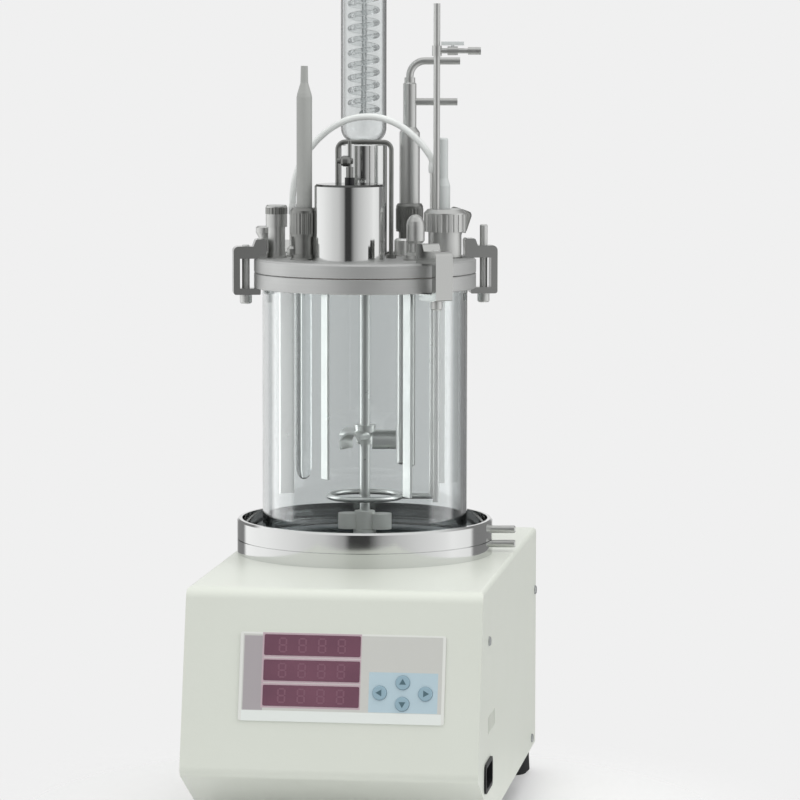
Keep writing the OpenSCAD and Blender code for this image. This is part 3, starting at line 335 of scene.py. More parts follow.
seen = add(sky, "Math", {0: ray.outputs["Is Camera Ray"], 1: ray.outputs["Is Transmission Ray"]},
           operation="MAXIMUM")
plain = blend(sky, seen.outputs["Value"], grey(SKY_LEVEL), BACKDROP)
tent_light = blend(sky, ray.outputs["Is Glossy Ray"], plain, mirrored)
glow = add(sky, "Background", {"Color": tent_light, "Strength": 1.0})
add(sky, "OutputWorld", {"Surface": glow.outputs["Background"]})
print("sky level:", SKY_LEVEL, "directions in the tent:", len(TENT))

# %% [markdown]
# Three soft boxes add what the even sky can't. The strongest hangs above, the next stands at the
# right and a faint one at the front left, so that the cabinet's faces part from each other. They
# are hidden from mirrored rays, because the tent already draws what the steel shows.

# %% Soft boxes
# Name, degrees to the camera's right, degrees up, metres away, metres across, watts
LAMPS = [("key_light", -38, 38, 2.6, 2.2, 7.5),
         ("fill_light", 75, 25, 2.8, 1.8, 18.5),
         ("top_light", 25, 85, 2.6, 2.2, 29)]


def soft_box(name, turn, rise, distance, size, watts):
    """A square lamp that faces the aim and shows neither to the camera nor in a mirror."""
    lamp = bpy.data.lights.new(name, "AREA")
    lamp.size = size
    lamp.energy = watts
    holder = bpy.data.objects.new(name, lamp)
    out = towards(VIEW_TURN + turn, rise)
    holder.location = aim + out * distance
    holder.rotation_euler = (-out).to_track_quat("-Z", "Y").to_euler()
    holder.visible_glossy = False
    holder.visible_camera = False
    scene.collection.objects.link(holder)


for row in LAMPS:
    soft_box(*row)

# %% [markdown]
# The floor is one pale disc. Near the object it is a matt table that takes the shadow. Further out
# it fades away for the eye, for mirrored rays and through glass, so that no horizon shows and the
# table and the backdrop are one. The fade follows the distance from the middle of the disc.

# %% Floor
# Metres from the middle where the fade begins and ends, and where the disc ends
TABLE_NEAR = 0.10
TABLE_EDGE = 0.36
TABLE_RADIUS = TABLE_EDGE + 0.05
table, tree, shader = material("pale_table", "#EFEFEF", 0.9, Specular_IOR_Level=0.0)
flat = add(tree, "VectorMath", {0: add(tree, "TexCoord").outputs["Object"]}, operation="LENGTH")
fade = add(tree, "MapRange", {
    "Value": flat.outputs["Value"], "From Min": TABLE_NEAR, "From Max": TABLE_EDGE},
    interpolation_type="SMOOTHSTEP")
ray = add(tree, "LightPath").outputs
eye = add(tree, "Math", {0: ray["Is Camera Ray"], 1: ray["Is Glossy Ray"]}, operation="MAXIMUM")
eye = add(tree, "Math", {0: eye.outputs["Value"], 1: ray["Is Transmission Ray"]}, operation="MAXIMUM")
gone = add(tree, "Math", {0: fade.outputs["Result"], 1: eye.outputs["Value"]}, operation="MULTIPLY")
mixed = add(tree, "MixShader", {"Fac": gone.outputs["Value"], 1: shader.outputs["BSDF"],
                                2: add(tree, "BsdfTransparent").outputs["BSDF"]})
tree.links.new(mixed.outputs["Shader"], tree.nodes["Material Output"].inputs["Surface"])

disc = bmesh.new()
bmesh.ops.create_circle(disc, cap_ends=True, segments=96, radius=TABLE_RADIUS)
bmesh.ops.recalc_face_normals(disc, faces=disc.faces)
table_mesh = bpy.data.meshes.new("table")
disc.to_mesh(table_mesh)
disc.free()
table_mesh.materials.append(table)
floor = bpy.data.objects.new("table", table_mesh)
scene.collection.objects.link(floor)
print("table radius in mm:", round(TABLE_RADIUS / MM))

# %% [markdown]
# ## Fine pieces
# The solids hold the main forms. What they leave out is added here: the coil's true curve, weld
# beads, ribs, screws, the readouts' digits and the arrows on the keys. The fittings on the head
# are listed once, because the coil, the weld beads and the ribs all start from their places.

# %% Places on the head
# Right of the jar's axis and behind it, in mm
ELECTRODE = (-42.8, -31)
COOLER = (28.2, 49.5)
SPARE_PORT = (-68, -11)
PARKING_POST = (-80.5, 7)
NIPPLE = (-58, 6)
DOME = (42.8, -24.5)
WELL = (26, 29)
CONDENSER = (-7, 39.5)
MULTI_PORT = (61.5, 8.5)
INOCULATION = (59.5, 36)
print("fittings furthest left and right in mm:", PARKING_POST[0], MULTI_PORT[0])

# %% [markdown]
# The cooling coil inside the condenser is one glass tube. It comes in through the shoulder, runs
# down the middle, turns outwards at the bottom and climbs in even turns. A curve with sixteen knots
# to a turn is round enough, and its section stays round where the solid's is faceted.

# %% Condenser coil
COIL_RADIUS = 10.5
COIL_PITCH = 9.7
COIL_TURNS = 9
COIL_TUBE = 2.1
COIL_KNOTS = 16
# Heights in mm: the first turn and the mantle's shoulder above the cup, the open ends above that
FIRST_TURN = 27
SHOULDER = 148
OPEN_END = 14
# The last piece at each open end is straight for so many mm
STRAIGHT = 3
# The tube leaves the top turn at this many degrees, a trace further out than the turn
LEAVE_TURN = 11
LEAVE_RADIUS = COIL_RADIUS + 0.2
# Degrees over which the middle tube swings out into the first turn, and from knot to knot
SWING = 150
SWING_STEP = 25
cup_top = (top("condenser_cup") - head_top) / MM
coil_low = cup_top + FIRST_TURN
coil_high = coil_low + COIL_TURNS * COIL_PITCH
coil_end = cup_top + SHOULDER + OPEN_END


def coil_place(angle, radius, height):
    """A point by its angle in degrees and its radius round the condenser's axis, and its height."""
    a = math.radians(angle)
    x, y = CONDENSER
    return on_head(x + radius * math.cos(a), y + radius * math.sin(a), height)


# Angle, radius and height of each knot; the bend to the middle lies 18 to 5 mm above the turns
down = [(180, COIL_RADIUS, coil_end), (180, COIL_RADIUS, coil_end - STRAIGHT),
        (180, COIL_RADIUS, coil_high + 18), (180, 9, coil_high + 14),
        (180, 1.5, coil_high + 9), (180, 0, coil_high + 5), (180, 0, coil_low)]
out = [(a, COIL_RADIUS * (1 + a / SWING), coil_low + COIL_PITCH * a / 360)
       for a in range(-SWING, 0, SWING_STEP)]
turns = [(i * 360 / COIL_KNOTS, COIL_RADIUS, coil_low + COIL_PITCH * i / COIL_KNOTS)
         for i in range(COIL_TURNS * COIL_KNOTS + 1)]
up = [(LEAVE_TURN, LEAVE_RADIUS, height)
      for height in (coil_high + STRAIGHT, coil_end - STRAIGHT, coil_end)]
coil = pipe("cooling_coil", [coil_place(*knot) for knot in down + out + turns + up], COIL_TUBE,
            "base")
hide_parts("condenser_coil")

# %% [markdown]
# Each port is welded into the head plate, and the bead leaves a small hollow fillet round its foot.
# A bead is a spun outline of six points. It hugs the port, and its foot lies on the plate.

# %% Weld beads
# The radius of each port's foot, in mm
FEET = [(ELECTRODE, 10), (COOLER, 10), (SPARE_PORT, 7.3), (PARKING_POST, 3.8), (NIPPLE, 4.6),
        (DOME, 8.5), (WELL, 7), (CONDENSER, 26.1), (MULTI_PORT, 12.9)]
# The bead's outline in mm: out from the foot's radius, and up from the plate
FILLET = [(-0.2, 0), (1.2, 0), (0.95, 0.35), (0.4, 0.55), (0.1, 1.1), (-0.2, 1.1), (-0.2, 0)]


def bead(place, radius):
    """A closed bead round a foot of that radius."""
    return standing(spun([(radius + out, up) for out, up in FILLET]), place)


welds = piece("port_welds", join(*(bead(*foot) for foot in FEET)), "base", sharp=60)

# %% [markdown]
# Nuts and caps that are turned by hand are ribbed. A ribbed band is a ring with four steps to a rib,
# in which every second pair of outer points is drawn outwards. The bands sit on the glands of the
# electrode and the cooler and on the caps of the spare and the leaning port, and each rides with
# what it grips.

# %% Ribbed bands
BAND_WALL = 0.6
RIB_DEPTH = 0.3
RIB_STEPS = 4
# Radius, low and high end in mm, and number of ribs
GLAND_BAND = (10.6, 20, 36, 24)
SPARE_CAP_BAND = (8.3, 34, 39, 20)
INOCULATION_CAP_BAND = (8.6, 23.5, 35.5, 20)
LEAN_OUT = math.radians(20)


def ribbed(radius, low, high, ribs):
    """A closed band from low to high in mm, whose ribs stand out of the radius."""
    inner = radius - BAND_WALL
    band = spun([(inner, low), (radius, low), (radius, high), (inner, high), (inner, low)],
                RIB_STEPS * ribs)
    for corner in band.verts:
        if corner.co.xy.length > (inner + radius) / 2 * MM:
            step = round(math.atan2(corner.co.y, corner.co.x) / (2 * math.pi) * RIB_STEPS * ribs)
            if step % RIB_STEPS < RIB_STEPS / 2:
                corner.co.xy *= (radius + RIB_DEPTH) / radius
    return band


glands = [standing(ribbed(*GLAND_BAND), place) for place in (ELECTRODE, COOLER)]
gland_ribs = piece("gland_ribs", join(*glands), "base", sharp=20)
spare_ribs = piece("spare_cap_ribs", standing(ribbed(*SPARE_CAP_BAND), SPARE_PORT),
                   "spare_cap", sharp=20)

neck_foot = Vector(INOCULATION)
neck_turn = math.atan2(neck_foot.y, neck_foot.x)
neck = (Matrix.Translation(on_head(*neck_foot, 0)) @ Matrix.Rotation(neck_turn, 4, "Z")
        @ Matrix.Rotation(LEAN_OUT, 4, "Y"))
inoculation_ribs = piece("inoculation_cap_ribs", moved(ribbed(*INOCULATION_CAP_BAND), neck),
                         "inoculation_cap_body", sharp=20)

# %% [markdown]
# The front panel leans back, so its pieces are easiest to place in the panel's own coordinates: x to
# the right, y up the leaning face and z out of it, from the middle of the printed film. One matrix
# takes them to the frame of the model.

# %% Panel coordinates
# The front leans back by so many mm over so many mm of height
LEAN_BACK = 31
LEAN_HEIGHT = 134
LEAN = math.degrees(math.atan(LEAN_BACK / LEAN_HEIGHT))
panel_middle = middle("front_overlay")
panel = Matrix.Translation(panel_middle) @ Matrix.Rotation(math.radians(90 - LEAN), 4, "X")
# Middles of the windows and the keys, and how far their faces stand out of the film, in mm
WINDOW_X = -22.5
WINDOW_ROWS = [23.3, 4.8, -13.7]
WINDOW_TOP = 0.8
KEYS = {"key_left": (28.2, -10), "key_up": (45, -2.2), "key_down": (45, -17.8), "key_right": (61.8, -10)}
KEY_TOP = 1.7
print("panel leans", round(LEAN, 1), "degrees")

# %% [markdown]
# The readouts are seven-segment digits. The instrument is off, so they show only as a paler plum
# through the tinted windows. One segment is a circle of six corners, pulled long. Seven of them make
# an eight, and each window holds four eights.

# %% Seven-segment digits
DIGITS = 4
DIGIT_PITCH = 14.5
SEGMENT_LENGTH = 4.3
SEGMENT_HALF = 0.75
# A mark's thickness in mm, and how deep it sinks into its ground
MARK_THICK = 0.06
MARK_SUNK = 0.02
# Middle of each segment, and whether it stands upright
EIGHT = [(0, 4.9, False), (0, 0, False), (0, -4.9, False),
         (-2.5, 2.45, True), (2.5, 2.45, True), (-2.5, -2.45, True), (2.5, -2.45, True)]


def flat_mark(corners, radius, place, turn=0.0, stretch=0.0):
    """A flat mark with that many corners, pulled stretch mm longer along x, turned and placed."""
    mark = bmesh.new()
    made = bmesh.ops.create_circle(mark, cap_ends=True, segments=corners, radius=radius * MM)
    quarter = Matrix.Rotation(-math.pi / 2, 3, "Z")
    bmesh.ops.rotate(mark, cent=(0, 0, 0), matrix=quarter, verts=made["verts"])
    for corner in made["verts"]:
        if abs(corner.co.x) > SAME_POINT / 2 * MM:
            corner.co.x += math.copysign(stretch / 2 * MM, corner.co.x)
    walls = bmesh.ops.extrude_face_region(mark, geom=mark.faces[:])["geom"]
    raised = [v for v in walls if isinstance(v, bmesh.types.BMVert)]
    bmesh.ops.translate(mark, vec=(0, 0, MARK_THICK * MM), verts=raised)
    bmesh.ops.recalc_face_normals(mark, faces=mark.faces)
    here = Matrix.Translation([x * MM for x in place])
    return moved(mark, panel @ here @ Matrix.Rotation(turn, 4, "Z"))


segments = []
for row in WINDOW_ROWS:
    for i in range(DIGITS):
        x = WINDOW_X + (i - (DIGITS - 1) / 2) * DIGIT_PITCH
        for dx, dy, upright in EIGHT:
            place = (x + dx, row + dy, WINDOW_TOP - MARK_SUNK)
            turn = math.pi / 2 if upright else 0.0
            segments.append(flat_mark(6, SEGMENT_HALF, place, turn, SEGMENT_LENGTH - 2 * SEGMENT_HALF))
readouts = piece("readout_segments", join(*segments), "base")

# %% [markdown]
# Each key carries an arrow that says which way it steps: a printed triangle that rides on its key,
# so that it sinks with it.

# %% Key arrows
ARROW_RADIUS = 2.9
# Degrees by which the arrow of each key is turned from pointing right
ARROW_TURNS = (180, 90, -90, 0)
arrows = []
for (key, place), turn in zip(KEYS.items(), ARROW_TURNS):
    mark = flat_mark(3, ARROW_RADIUS, (*place, KEY_TOP - MARK_SUNK), math.radians(turn))
    arrows.append(piece(key + "_arrow", mark, key + "_body"))

# %% [markdown]
# The rear panel is held by six pan-head screws. A head is a spun dome, turned to face backwards.

# %% Rear screws
# How far the screws sit inside the panel's edges, and the middle pair above its middle, in mm
SIDE_INSET = 7
LOW_INSET = 12
HIGH_INSET = 8
MIDDLE_RISE = 10
# Radius and height of the screw head's outline, in mm
PAN_HEAD = [(0, 1.5), (1.6, 1.4), (2.5, 1.05), (2.9, 0.5), (2.9, -0.3), (0, -0.3)]
low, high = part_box("rear_panel")
backwards = Matrix.Rotation(-math.pi / 2, 4, "X")
heads = []
levels = (low.z + LOW_INSET * MM, (low.z + high.z) / 2 + MIDDLE_RISE * MM, high.z - HIGH_INSET * MM)
for x in (low.x + SIDE_INSET * MM, high.x - SIDE_INSET * MM):
    for z in levels:
        here = Matrix.Translation((x, high.y, z))
        heads.append(moved(spun(PAN_HEAD, steps=24), here @ backwards))
rear_screws = piece("rear_panel_screws", join(*heads), "base")

# %% [markdown]
# Surfaces differ mostly in what is too small to model: the orange peel of powder coat, the fine
# rings that a lathe leaves, the grit of a blasted casting. Each of these is a noise with its real
# size in millimetres, which moves the roughness a little or tilts the surface through a Bump node.
# Turned parts get their noise from the distance to their own axis and the height, so that it forms
# rings round the part.

# %% Surface helpers
def spot(tree, centre=(0, 0, 0), turn=(0, 0, 0)):
    """Object coordinates measured from a centre in metres, turned by angles in degrees."""
    place = add(tree, "Mapping", {
        "Vector": add(tree, "TexCoord").outputs["Object"], "Location": centre,
        "Rotation": [math.radians(a) for a in turn]}, vector_type="TEXTURE")
    return place.outputs["Vector"]


def noise(tree, place, size_mm, detail=2.0):
    """A noise whose lumps are about that many millimetres apart."""
    made = add(tree, "TexNoise", {"Vector": place, "Scale": 1 / (size_mm * MM), "Detail": detail})
    return made.outputs["Fac"]


def rings(tree, centre):
    """Coordinates that change with radius and height only, for a part turned round that centre."""
    place = spot(tree, centre)
    across = add(tree, "VectorMath", {0: place, 1: (1, 1, 0)}, operation="MULTIPLY")
    radius = add(tree, "VectorMath", {0: across.outputs["Vector"]}, operation="LENGTH")
    level = add(tree, "SeparateXYZ", {"Vector": place})
    ring = add(tree, "CombineXYZ", {"X": radius.outputs["Value"], "Y": level.outputs["Z"]})
    return ring.outputs["Vector"]


def between(tree, value, low, high):
    """A number from 0..1 spread over low..high."""
    return add(tree, "MapRange", {"Value": value, "To Min": low, "To Max": high}).outputs["Result"]


def above(tree, height):
    """1 where a point lies higher than that height in metres, and 0 below it."""
    level = add(tree, "SeparateXYZ", {"Vector": spot(tree)}).outputs["Z"]
    return add(tree, "Math", {0: level, 1: height}, operation="GREATER_THAN").outputs["Value"]


def relief(tree, shader, value, depth_mm):
    """Tilt the surface as if the value rose and fell by that many millimetres."""
    bump = add(tree, "Bump", {"Height": value, "Distance": depth_mm * MM})
    feed(tree, shader, Normal=bump.outputs["Normal"])


def uneven(tree, shader, size_mm, low, high, detail=2.0):
    """Roughness that wanders from low to high in lumps about that many millimetres apart."""
    lumps = noise(tree, spot(tree), size_mm, detail)
    feed(tree, shader, Roughness=between(tree, lumps, low, high))


def dress(stuff, *names):
    """Put a finish on the solids with those names."""
    for name in names:
        for place in solids[name].material_slots:
            place.material = stuff
    print(stuff.name, "on", ", ".join(names))


def wear(stuff, *pieces):
    """Put a finish on new pieces."""
    for thing in pieces:
        thing.data.materials.append(stuff)
    print(stuff.name, "on", ", ".join(thing.name for thing in pieces))


# %% [markdown]
# ## Cabinet
# The cover is folded sheet steel with an ivory powder coat. The powder melts and flows before it
# sets, which leaves a soft orange peel with waves of about two millimetres. A thin clear skin on
# top of the colour gives the soft gloss. The rear panel is sprayed from the same powder.

# %% Ivory powder coat
IVORY = "#DBDFD6"
for name, rough in (("housing_cover", 0.34), ("rear_panel", 0.38)):
    powder, tree, shader = material("ivory_powder_coat_" + name, IVORY, rough)
    place = spot(tree)
    peel = noise(tree, place, 2.2, detail=1.0)
    handled = noise(tree, place, 60, detail=3.0)
    feed(tree, shader, Roughness=between(tree, handled, rough - 0.05, rough + 0.07))
    # Powder film is a little thinner here and there, which darkens the colour by a trace
    thinner = noise(tree, place, 90)
    feed(tree, shader, Base_Color=blend(tree, thinner, linear(IVORY), linear("#D7DBD1")))
    relief(tree, shader, peel, 0.035)
    dress(powder, name)

# %% [markdown]
# The base tray, the case of the power supply and the screws of cover and rear panel are
# zinc-plated. Zinc crystals give a faint mottle of flakes a few millimetres wide.

# %% Zinc plate
zinc, tree, shader = material("zinc_plate", "#B4B7B8", 0.42, 1.0)
flakes = add(tree, "TexVoronoi", {"Vector": spot(tree), "Scale": 1 / (5 * MM)})
tone = add(tree, "SeparateColor", {"Color": flakes.outputs["Color"]}).outputs["Red"]
mottle = blend(tree, tone, linear("#A9ACAE"), linear("#C2C4C4"))
feed(tree, shader, Base_Color=mottle, Roughness=between(tree, tone, 0.34, 0.48))
dress(zinc, "chassis_base", "power_supply", "cover_screws")
wear(zinc, rear_screws)

# %% [markdown]
# The feet are rubber: matt, nearly black, with a fine dry grain. The heater mat under the jar is a
# grey silicone, which shows the weave of its wires. The grips, the mains inlet and the rocker are
# moulded thermoplastic with a spark-eroded texture, which breaks their gloss into tiny glints.

# %% Rubber and black thermoplastic
rubber, tree, shader = material("black_rubber", "#1B1C1D", 0.78)
grain = noise(tree, spot(tree), 1.0, detail=3.0)
feed(tree, shader, Roughness=between(tree, grain, 0.68, 0.88))
relief(tree, shader, grain, 0.05)
dress(rubber, "feet")

mat, tree, shader = material("grey_silicone_heater_mat", "#96999B", 0.6)
weave = noise(tree, spot(tree), 1.5, detail=3.0)
feed(tree, shader, Roughness=between(tree, weave, 0.5, 0.7))
relief(tree, shader, weave, 0.04)
dress(mat, "heater_mat")

thermoplastic, tree, shader = material("black_thermoplastic", "#17181A", 0.5)
sparks = add(tree, "TexVoronoi", {"Vector": spot(tree), "Scale": 1 / (0.8 * MM)})
relief(tree, shader, sparks.outputs["Distance"], 0.04)
uneven(tree, shader, 12, 0.42, 0.56)
dress(thermoplastic, "side_grips", "power_inlet", "rocker_switch")

# %% [markdown]
# ## Front panel
# The panel is a printed polyester film on a metal carrier. Its colours are fields of ink: warm grey
# over most of it, a darker strip left of the windows, pale plum frames round the windows, pale blue
# behind the keys, and a whitish border that is widest along the bottom. The fields are rectangles
# in the panel's own coordinates.

# %% Printed polyester film
def field(tree, place, low, high, soft=0.35):
    """1 inside the rectangle from low to high in panel millimetres, 0 outside, with soft edges."""
    inside = None
    for axis, start, end in (("X", low[0], high[0]), ("Y", low[1], high[1])):
        half, centre = (end - start) / 2 * MM, (end + start) / 2 * MM
        off = add(tree, "Math", {0: place[axis], 1: -centre}, operation="ADD")
        off = add(tree, "Math", {0: off.outputs["Value"]}, operation="ABSOLUTE")
        edge = add(tree, "MapRange", {
            "Value": off.outputs["Value"], "From Min": half, "From Max": half - soft * MM})
        if inside:
            edge = add(tree, "Math", {0: inside.outputs[0], 1: edge.outputs[0]}, operation="MULTIPLY")
        inside = edge
    return inside.outputs[0]


INK_GREY = "#C9CAC5"
# Left, right and half of the height of the frame round each window, in mm from its middle
FRAME_LEFT = 37
FRAME_RIGHT = 36.6
FRAME_HALF = 9.2
# Each ink field: its colour and its rectangle's corners
inks = [
    ("#A9A3A6", (-73, -27), (-58, 30)),
    ("#E3E8E4", (-76, -33), (76, -24.5)),
    ("#B6CBD4", (20, -24.5), (71, 5.2)),
    ("#E2E4DF", (-76, 31), (76, 33)),
    ("#DFE1DC", (73.5, -33), (76, 33)),
    ("#DFE1DC", (-76, -33), (-73.5, 33))]
for row in WINDOW_ROWS:
    inks.append(("#BFA9B1", (WINDOW_X - FRAME_LEFT, row - FRAME_HALF),
                 (WINDOW_X + FRAME_RIGHT, row + FRAME_HALF)))

film, tree, shader = material("printed_polyester_film", INK_GREY, 0.42, Coat_Weight=0.15,
                              Coat_Roughness=0.25)
place = add(tree, "SeparateXYZ", {"Vector": spot(tree, panel_middle, (90 - LEAN, 0, 0))}).outputs
colour = linear(INK_GREY)
for code, low, high in inks:
    colour = blend(tree, field(tree, place, low, high), colour, linear(code))
feed(tree, shader, Base_Color=colour)
relief(tree, shader, noise(tree, spot(tree), 0.7), 0.01)
dress(film, "front_overlay")

# %% [markdown]
# The windows are acrylic tinted deep plum, glossy, so that only lit digits would shine through.
# The keys are moulded in a blue that is a shade deeper than the ink round them.

# %% Tinted acrylic and key plastic
acrylic, tree, shader = material("tinted_acrylic", "#6B4654", 0.16)
depth = noise(tree, spot(tree), 30, detail=1.0)
feed(tree, shader, Base_Color=blend(tree, depth, linear("#614050"), linear("#7C5363")))
dress(acrylic, "display_windows")

unlit, tree, shader = material("unlit_segment_ink", "#7D5666", 0.3)
uneven(tree, shader, 2.0, 0.24, 0.4)
wear(unlit, readouts)

key_plastic, tree, shader = material("blue_key_plastic", "#92AEBB", 0.34)
uneven(tree, shader, 3.0, 0.28, 0.42)
relief(tree, shader, noise(tree, spot(tree), 0.6), 0.01)
dress(key_plastic, *KEYS)

arrow_ink, tree, shader = material("teal_screen_ink", "#4F6A74", 0.45)
uneven(tree, shader, 1.5, 0.38, 0.55)
wear(arrow_ink, *arrows)

# %% [markdown]
# ## Inside the cabinet
# The laminate of the control board is glass cloth in epoxy under a green mask, with copper tracks
# that show through as slightly paler lines. The motor is sprayed with a hammered grey enamel, and
# its yoke is plain turned steel.

# %% Board laminate and motor enamel
laminate, tree, shader = material("green_board_laminate", "#1E5B38", 0.3, Coat_Weight=0.4)
tracks = add(tree, "TexBrick", {
    "Vector": spot(tree, panel_middle, (90 - LEAN, 0, 0)), "Color1": linear("#1E5B38"),
    "Color2": linear("#235F3D"), "Mortar": linear("#3B7D55"), "Scale": 90.0, "Mortar Size": 0.03})
feed(tree, shader, Base_Color=tracks.outputs["Color"])
dress(laminate, "control_board")

enamel, tree, shader = material("hammered_enamel", "#4B4E52", 0.3, Coat_Weight=0.3)
dents = add(tree, "TexVoronoi", {"Vector": spot(tree), "Scale": 1 / (4 * MM)}, feature="SMOOTH_F1")
relief(tree, shader, dents.outputs["Distance"], 0.25)
feed(tree, shader, Roughness=between(tree, dents.outputs["Distance"], 0.24, 0.4))
dress(enamel, "drive_motor")

# %% [markdown]
# ## Steel
# Stainless steel appears in several finishes. Ring and condenser cup are turned and then polished:
# nearly a mirror, with the last fine rings of the lathe. Flange and head plate are turned and then
# bead-blasted, which melts the mirror into one soft sheen. The clamps are polished too, but in a
# darker steel.

# %% Polished stainless steel
TURNED = "#DADBDA"
BLASTED = "#D0D1D0"
CLAMP_STEEL = "#BABBB9"
# The colour and the usual roughness of each part
polished = {"ring_base": (TURNED, 0.10), "ring_collar": (TURNED, 0.10), "condenser_cup": (TURNED, 0.10),
            "jar_flange": (BLASTED, 0.64), "head_plate": (BLASTED, 0.70),
            "clamp_frames": (CLAMP_STEEL, 0.14)}
# Where the surface is smoothest and where it is roughest, as a share of that
SMOOTHEST = 0.7
ROUGHEST = 1.5
for name, (code, rough) in polished.items():
    steel, tree, shader = material("polished_stainless_" + name, code, rough, 1.0)
    lathe = noise(tree, rings(tree, middle(name)), 0.9, detail=3.0)
    wiped = noise(tree, spot(tree), 35, detail=3.0)
    smear = add(tree, "Math", {0: lathe, 1: wiped}, operation="MULTIPLY")
    feed(tree, shader, Roughness=between(tree, smear.outputs["Value"], rough * SMOOTHEST,
                                         rough * ROUGHEST))
    relief(tree, shader, lathe, 0.004)
    dress(steel, name)

# %% [markdown]
# Tubes and ports are satin. The drawing leaves fine lines that run upright, so their noise is
# stretched 25 times along the height.

# %% Satin stainless steel
satin, tree, shader = material("satin_stainless", "#CDCECC", 0.4, 1.0)
along = add(tree, "Mapping", {
    "Vector": add(tree, "TexCoord").outputs["Object"], "Scale": (1.0, 1.0, 0.04)})
drawn = noise(tree, along.outputs["Vector"], 0.5, detail=3.0)
feed(tree, shader, Roughness=between(tree, drawn, 0.3, 0.5))
relief(tree, shader, drawn, 0.006)
dress(satin, "drive_yoke", "base_nipples", "spare_port", "spare_port_cap", "parking_post",
      "tube_nipple", "cooler_tube", "dome_port", "multi_port", "sample_tube", "inoculation_port")

# %% [markdown]
# What hangs in the jar is electropolished: a current has dissolved the drawing marks, so the steel
# is brighter and mirrors softly. The clamp bolts are zinc-plated and a little milky.

# %% Electropolished steel and bolts
wetted, tree, shader = material("electropolished_stainless", "#F1F2F0", 0.3, 1.0)
uneven(tree, shader, 9, 0.22, 0.4, detail=3.0)
dress(wetted, "stirrer_shaft", "impeller", "baffle_cage", "sparger", "temperature_well")

bright, tree, shader = material("zinc_plated_bolt_steel", "#D8D9D7", 0.5, 1.0)
uneven(tree, shader, 2.0, 0.42, 0.56)
dress(bright, *("clamp_bolt_" + str(i) for i in (1, 2, 3, 4)))

# %% [markdown]
# Glands, handle, weld beads and ribs, and the cap of the leaning port, have gone a little dark with
# steam. Their grit is half a millimetre apart and their stains are about fourteen millimetres apart.

# %% Blasted dark steel
blasted, tree, shader = material("blasted_dark_steel", "#8F908E", 0.36, 1.0)
grit = noise(tree, spot(tree), 0.5)
stain = blend(tree, noise(tree, spot(tree), 14, detail=3.0), linear("#7E7F7D"), linear("#A0A19E"))
feed(tree, shader, Base_Color=stain, Roughness=between(tree, grit, 0.28, 0.46))
relief(tree, shader, grit, 0.02)
dress(blasted, "port_glands", "inoculation_cap", "lift_handle")
wear(blasted, gland_ribs, spare_ribs, inoculation_ribs, welds)

# %% [markdown]
# Two solids of the exhaust hold two finishes each, and the height decides which of them a point
# gets. The filter can is a bright mirror below its lid and dark grey from the lid up. The vent
# fitting on it has a black plastic nut at its foot and steel above.

# %% Filter can and vent fitting
# Thickness of the can's lid and height of the nut on it, in mm
LID = 1.6
NUT = 5
FITTING_STEEL = "#8A8B89"
can_top = top("filter_can")
canned, tree, shader = material("polished_stainless_filter_can", TURNED, 0.08, 1.0)
lathe = noise(tree, rings(tree, middle("filter_can")), 0.9, detail=3.0)
# From the lid up, the top 1.6 mm, the can is coloured dark grey
skin = blend(tree, above(tree, can_top - LID * MM), linear(TURNED), linear("#5A5B5A"))
feed(tree, shader, Base_Color=skin, Roughness=between(tree, lathe, 0.05, 0.12))
relief(tree, shader, lathe, 0.004)
dress(canned, "filter_can")

fitting, tree, shader = material("fitting_steel_and_nut", FITTING_STEEL, 0.3)
is_steel = above(tree, can_top + NUT * MM)
skin = blend(tree, is_steel, linear("#161719"), linear(FITTING_STEEL))
feed(tree, shader, Metallic=is_steel, Base_Color=skin)
uneven(tree, shader, 1.5, 0.24, 0.38)
dress(fitting, "filter_fitting")

# %% [markdown]
# ## Plastics, silicone and the electrode
# PTFE is dense white with a waxy sheen, because light enters it a little before it comes back. The
# stepped sleeve and the stopcock's plug are nylon, which is greyer and lets more light in. Silicone
# is clearer and softer, and dyed red where it seals the head. The electrode is grey epoxy above
# the head plate and glass below it.

# %% PTFE, nylon, silicone and epoxy
# Light spreads alike in red, green and blue
EVENLY = (1, 1, 1)
ptfe, tree, shader = material("turned_ptfe", "#EDEDE8", 0.42, Subsurface_Weight=0.15,
                              Subsurface_Scale=0.004, Subsurface_Radius=EVENLY)
relief(tree, shader, noise(tree, spot(tree), 0.8), 0.01)
uneven(tree, shader, 10, 0.36, 0.5)
dress(ptfe, "magnet_foot", "top_bearing", "bottom_pivot")

nylon, tree, shader = material("translucent_nylon", "#C6CAC9", 0.36, Subsurface_Weight=0.3,
                               Subsurface_Scale=0.003, Subsurface_Radius=EVENLY)
uneven(tree, shader, 6, 0.3, 0.44)
dress(nylon, "stepped_sleeve", "sample_cock")

silicone, tree, shader = material("clear_silicone", "#E4E7E5", 0.32, Subsurface_Weight=0.35,
                                  Subsurface_Scale=0.003, Subsurface_Radius=EVENLY,
                                  Coat_Weight=0.2)
uneven(tree, shader, 8, 0.26, 0.42)
wear(silicone, hose, cuffs)

gasket, tree, shader = material("red_silicone_gasket", "#A8392B", 0.5)
uneven(tree, shader, 2.0, 0.44, 0.6)
dress(gasket, "head_seal")

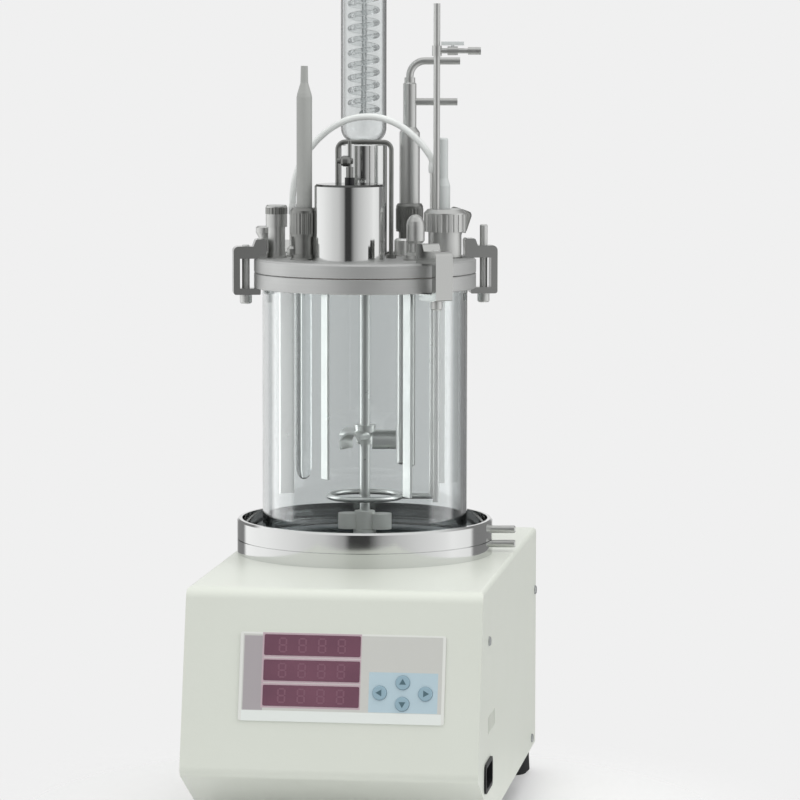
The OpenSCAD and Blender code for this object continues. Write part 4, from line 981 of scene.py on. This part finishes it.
EPOXY = "#A4A6A3"
EPOXY_ROUGHNESS = 0.34
epoxy, tree, shader = material("grey_epoxy", EPOXY, EPOXY_ROUGHNESS)
lathe = noise(tree, rings(tree, middle("ph_electrode")), 1.2)
is_epoxy = above(tree, head_top)
shaft = blend(tree, is_epoxy, linear("#F4F6F6"), linear(EPOXY))
feed(tree, shader, Base_Color=shaft, Roughness=between(tree, is_epoxy, 0.03, EPOXY_ROUGHNESS),
     Transmission_Weight=between(tree, is_epoxy, 1.0, 0.0))
relief(tree, shader, lathe, 0.01)
dress(epoxy, "ph_electrode")

# %% [markdown]
# ## Glass
# The jar and the condenser are borosilicate glass, with an index of 1.47. Their grey-green tint is partly
# the glass's own trace of colour in the thick parts and partly painted shade, which greys what is seen
# through them, the jar most. The condenser's mantle is a trace rougher than the jar, and the coil in it
# rougher still. A renderer that follows light backwards finds almost no path from a lamp through
# curved glass, so glass would throw a hard black shadow. For shadow rays the glass is therefore
# swapped for a plain see-through shader, tinted as the glass is.

# %% Borosilicate glass
GLASS_INDEX = 1.474
# Drawn glass is never quite even: its waves are this many mm apart and this many mm deep
WAVE_LENGTH = 30
WAVE_DEPTH = 0.05


def borosilicate(name, code, shade, roughness=0.0):
    """Glass whose shadow is only a tint: shade is the colour that a shadow ray keeps."""
    glass, tree, shader = material(name, code, roughness, Transmission_Weight=1.0, IOR=GLASS_INDEX)
    ray = add(tree, "LightPath").outputs
    clear = add(tree, "BsdfTransparent", {"Color": linear(shade)})
    mixed = add(tree, "MixShader", {"Fac": ray["Is Shadow Ray"], 1: shader.outputs["BSDF"],
                                    2: clear.outputs["BSDF"]})
    tree.links.new(mixed.outputs["Shader"], tree.nodes["Material Output"].inputs["Surface"])
    relief(tree, shader, noise(tree, spot(tree), WAVE_LENGTH, detail=1.0), WAVE_DEPTH)
    return glass


# The jar's grey tint is partly painted shade: it greys everything seen through the jar
jar_glass = borosilicate("borosilicate_jar", "#DFE2E2", "#E6EAEA")
condenser_skin = borosilicate("borosilicate_condenser", "#EDEFEF", "#E6EAEA", 0.03)
coil_glass = borosilicate("borosilicate_coil", "#F4F5F5", "#E0E4E4", 0.25)
dress(jar_glass, "glass_jar")
dress(condenser_skin, "condenser_glass")
wear(coil_glass, coil)
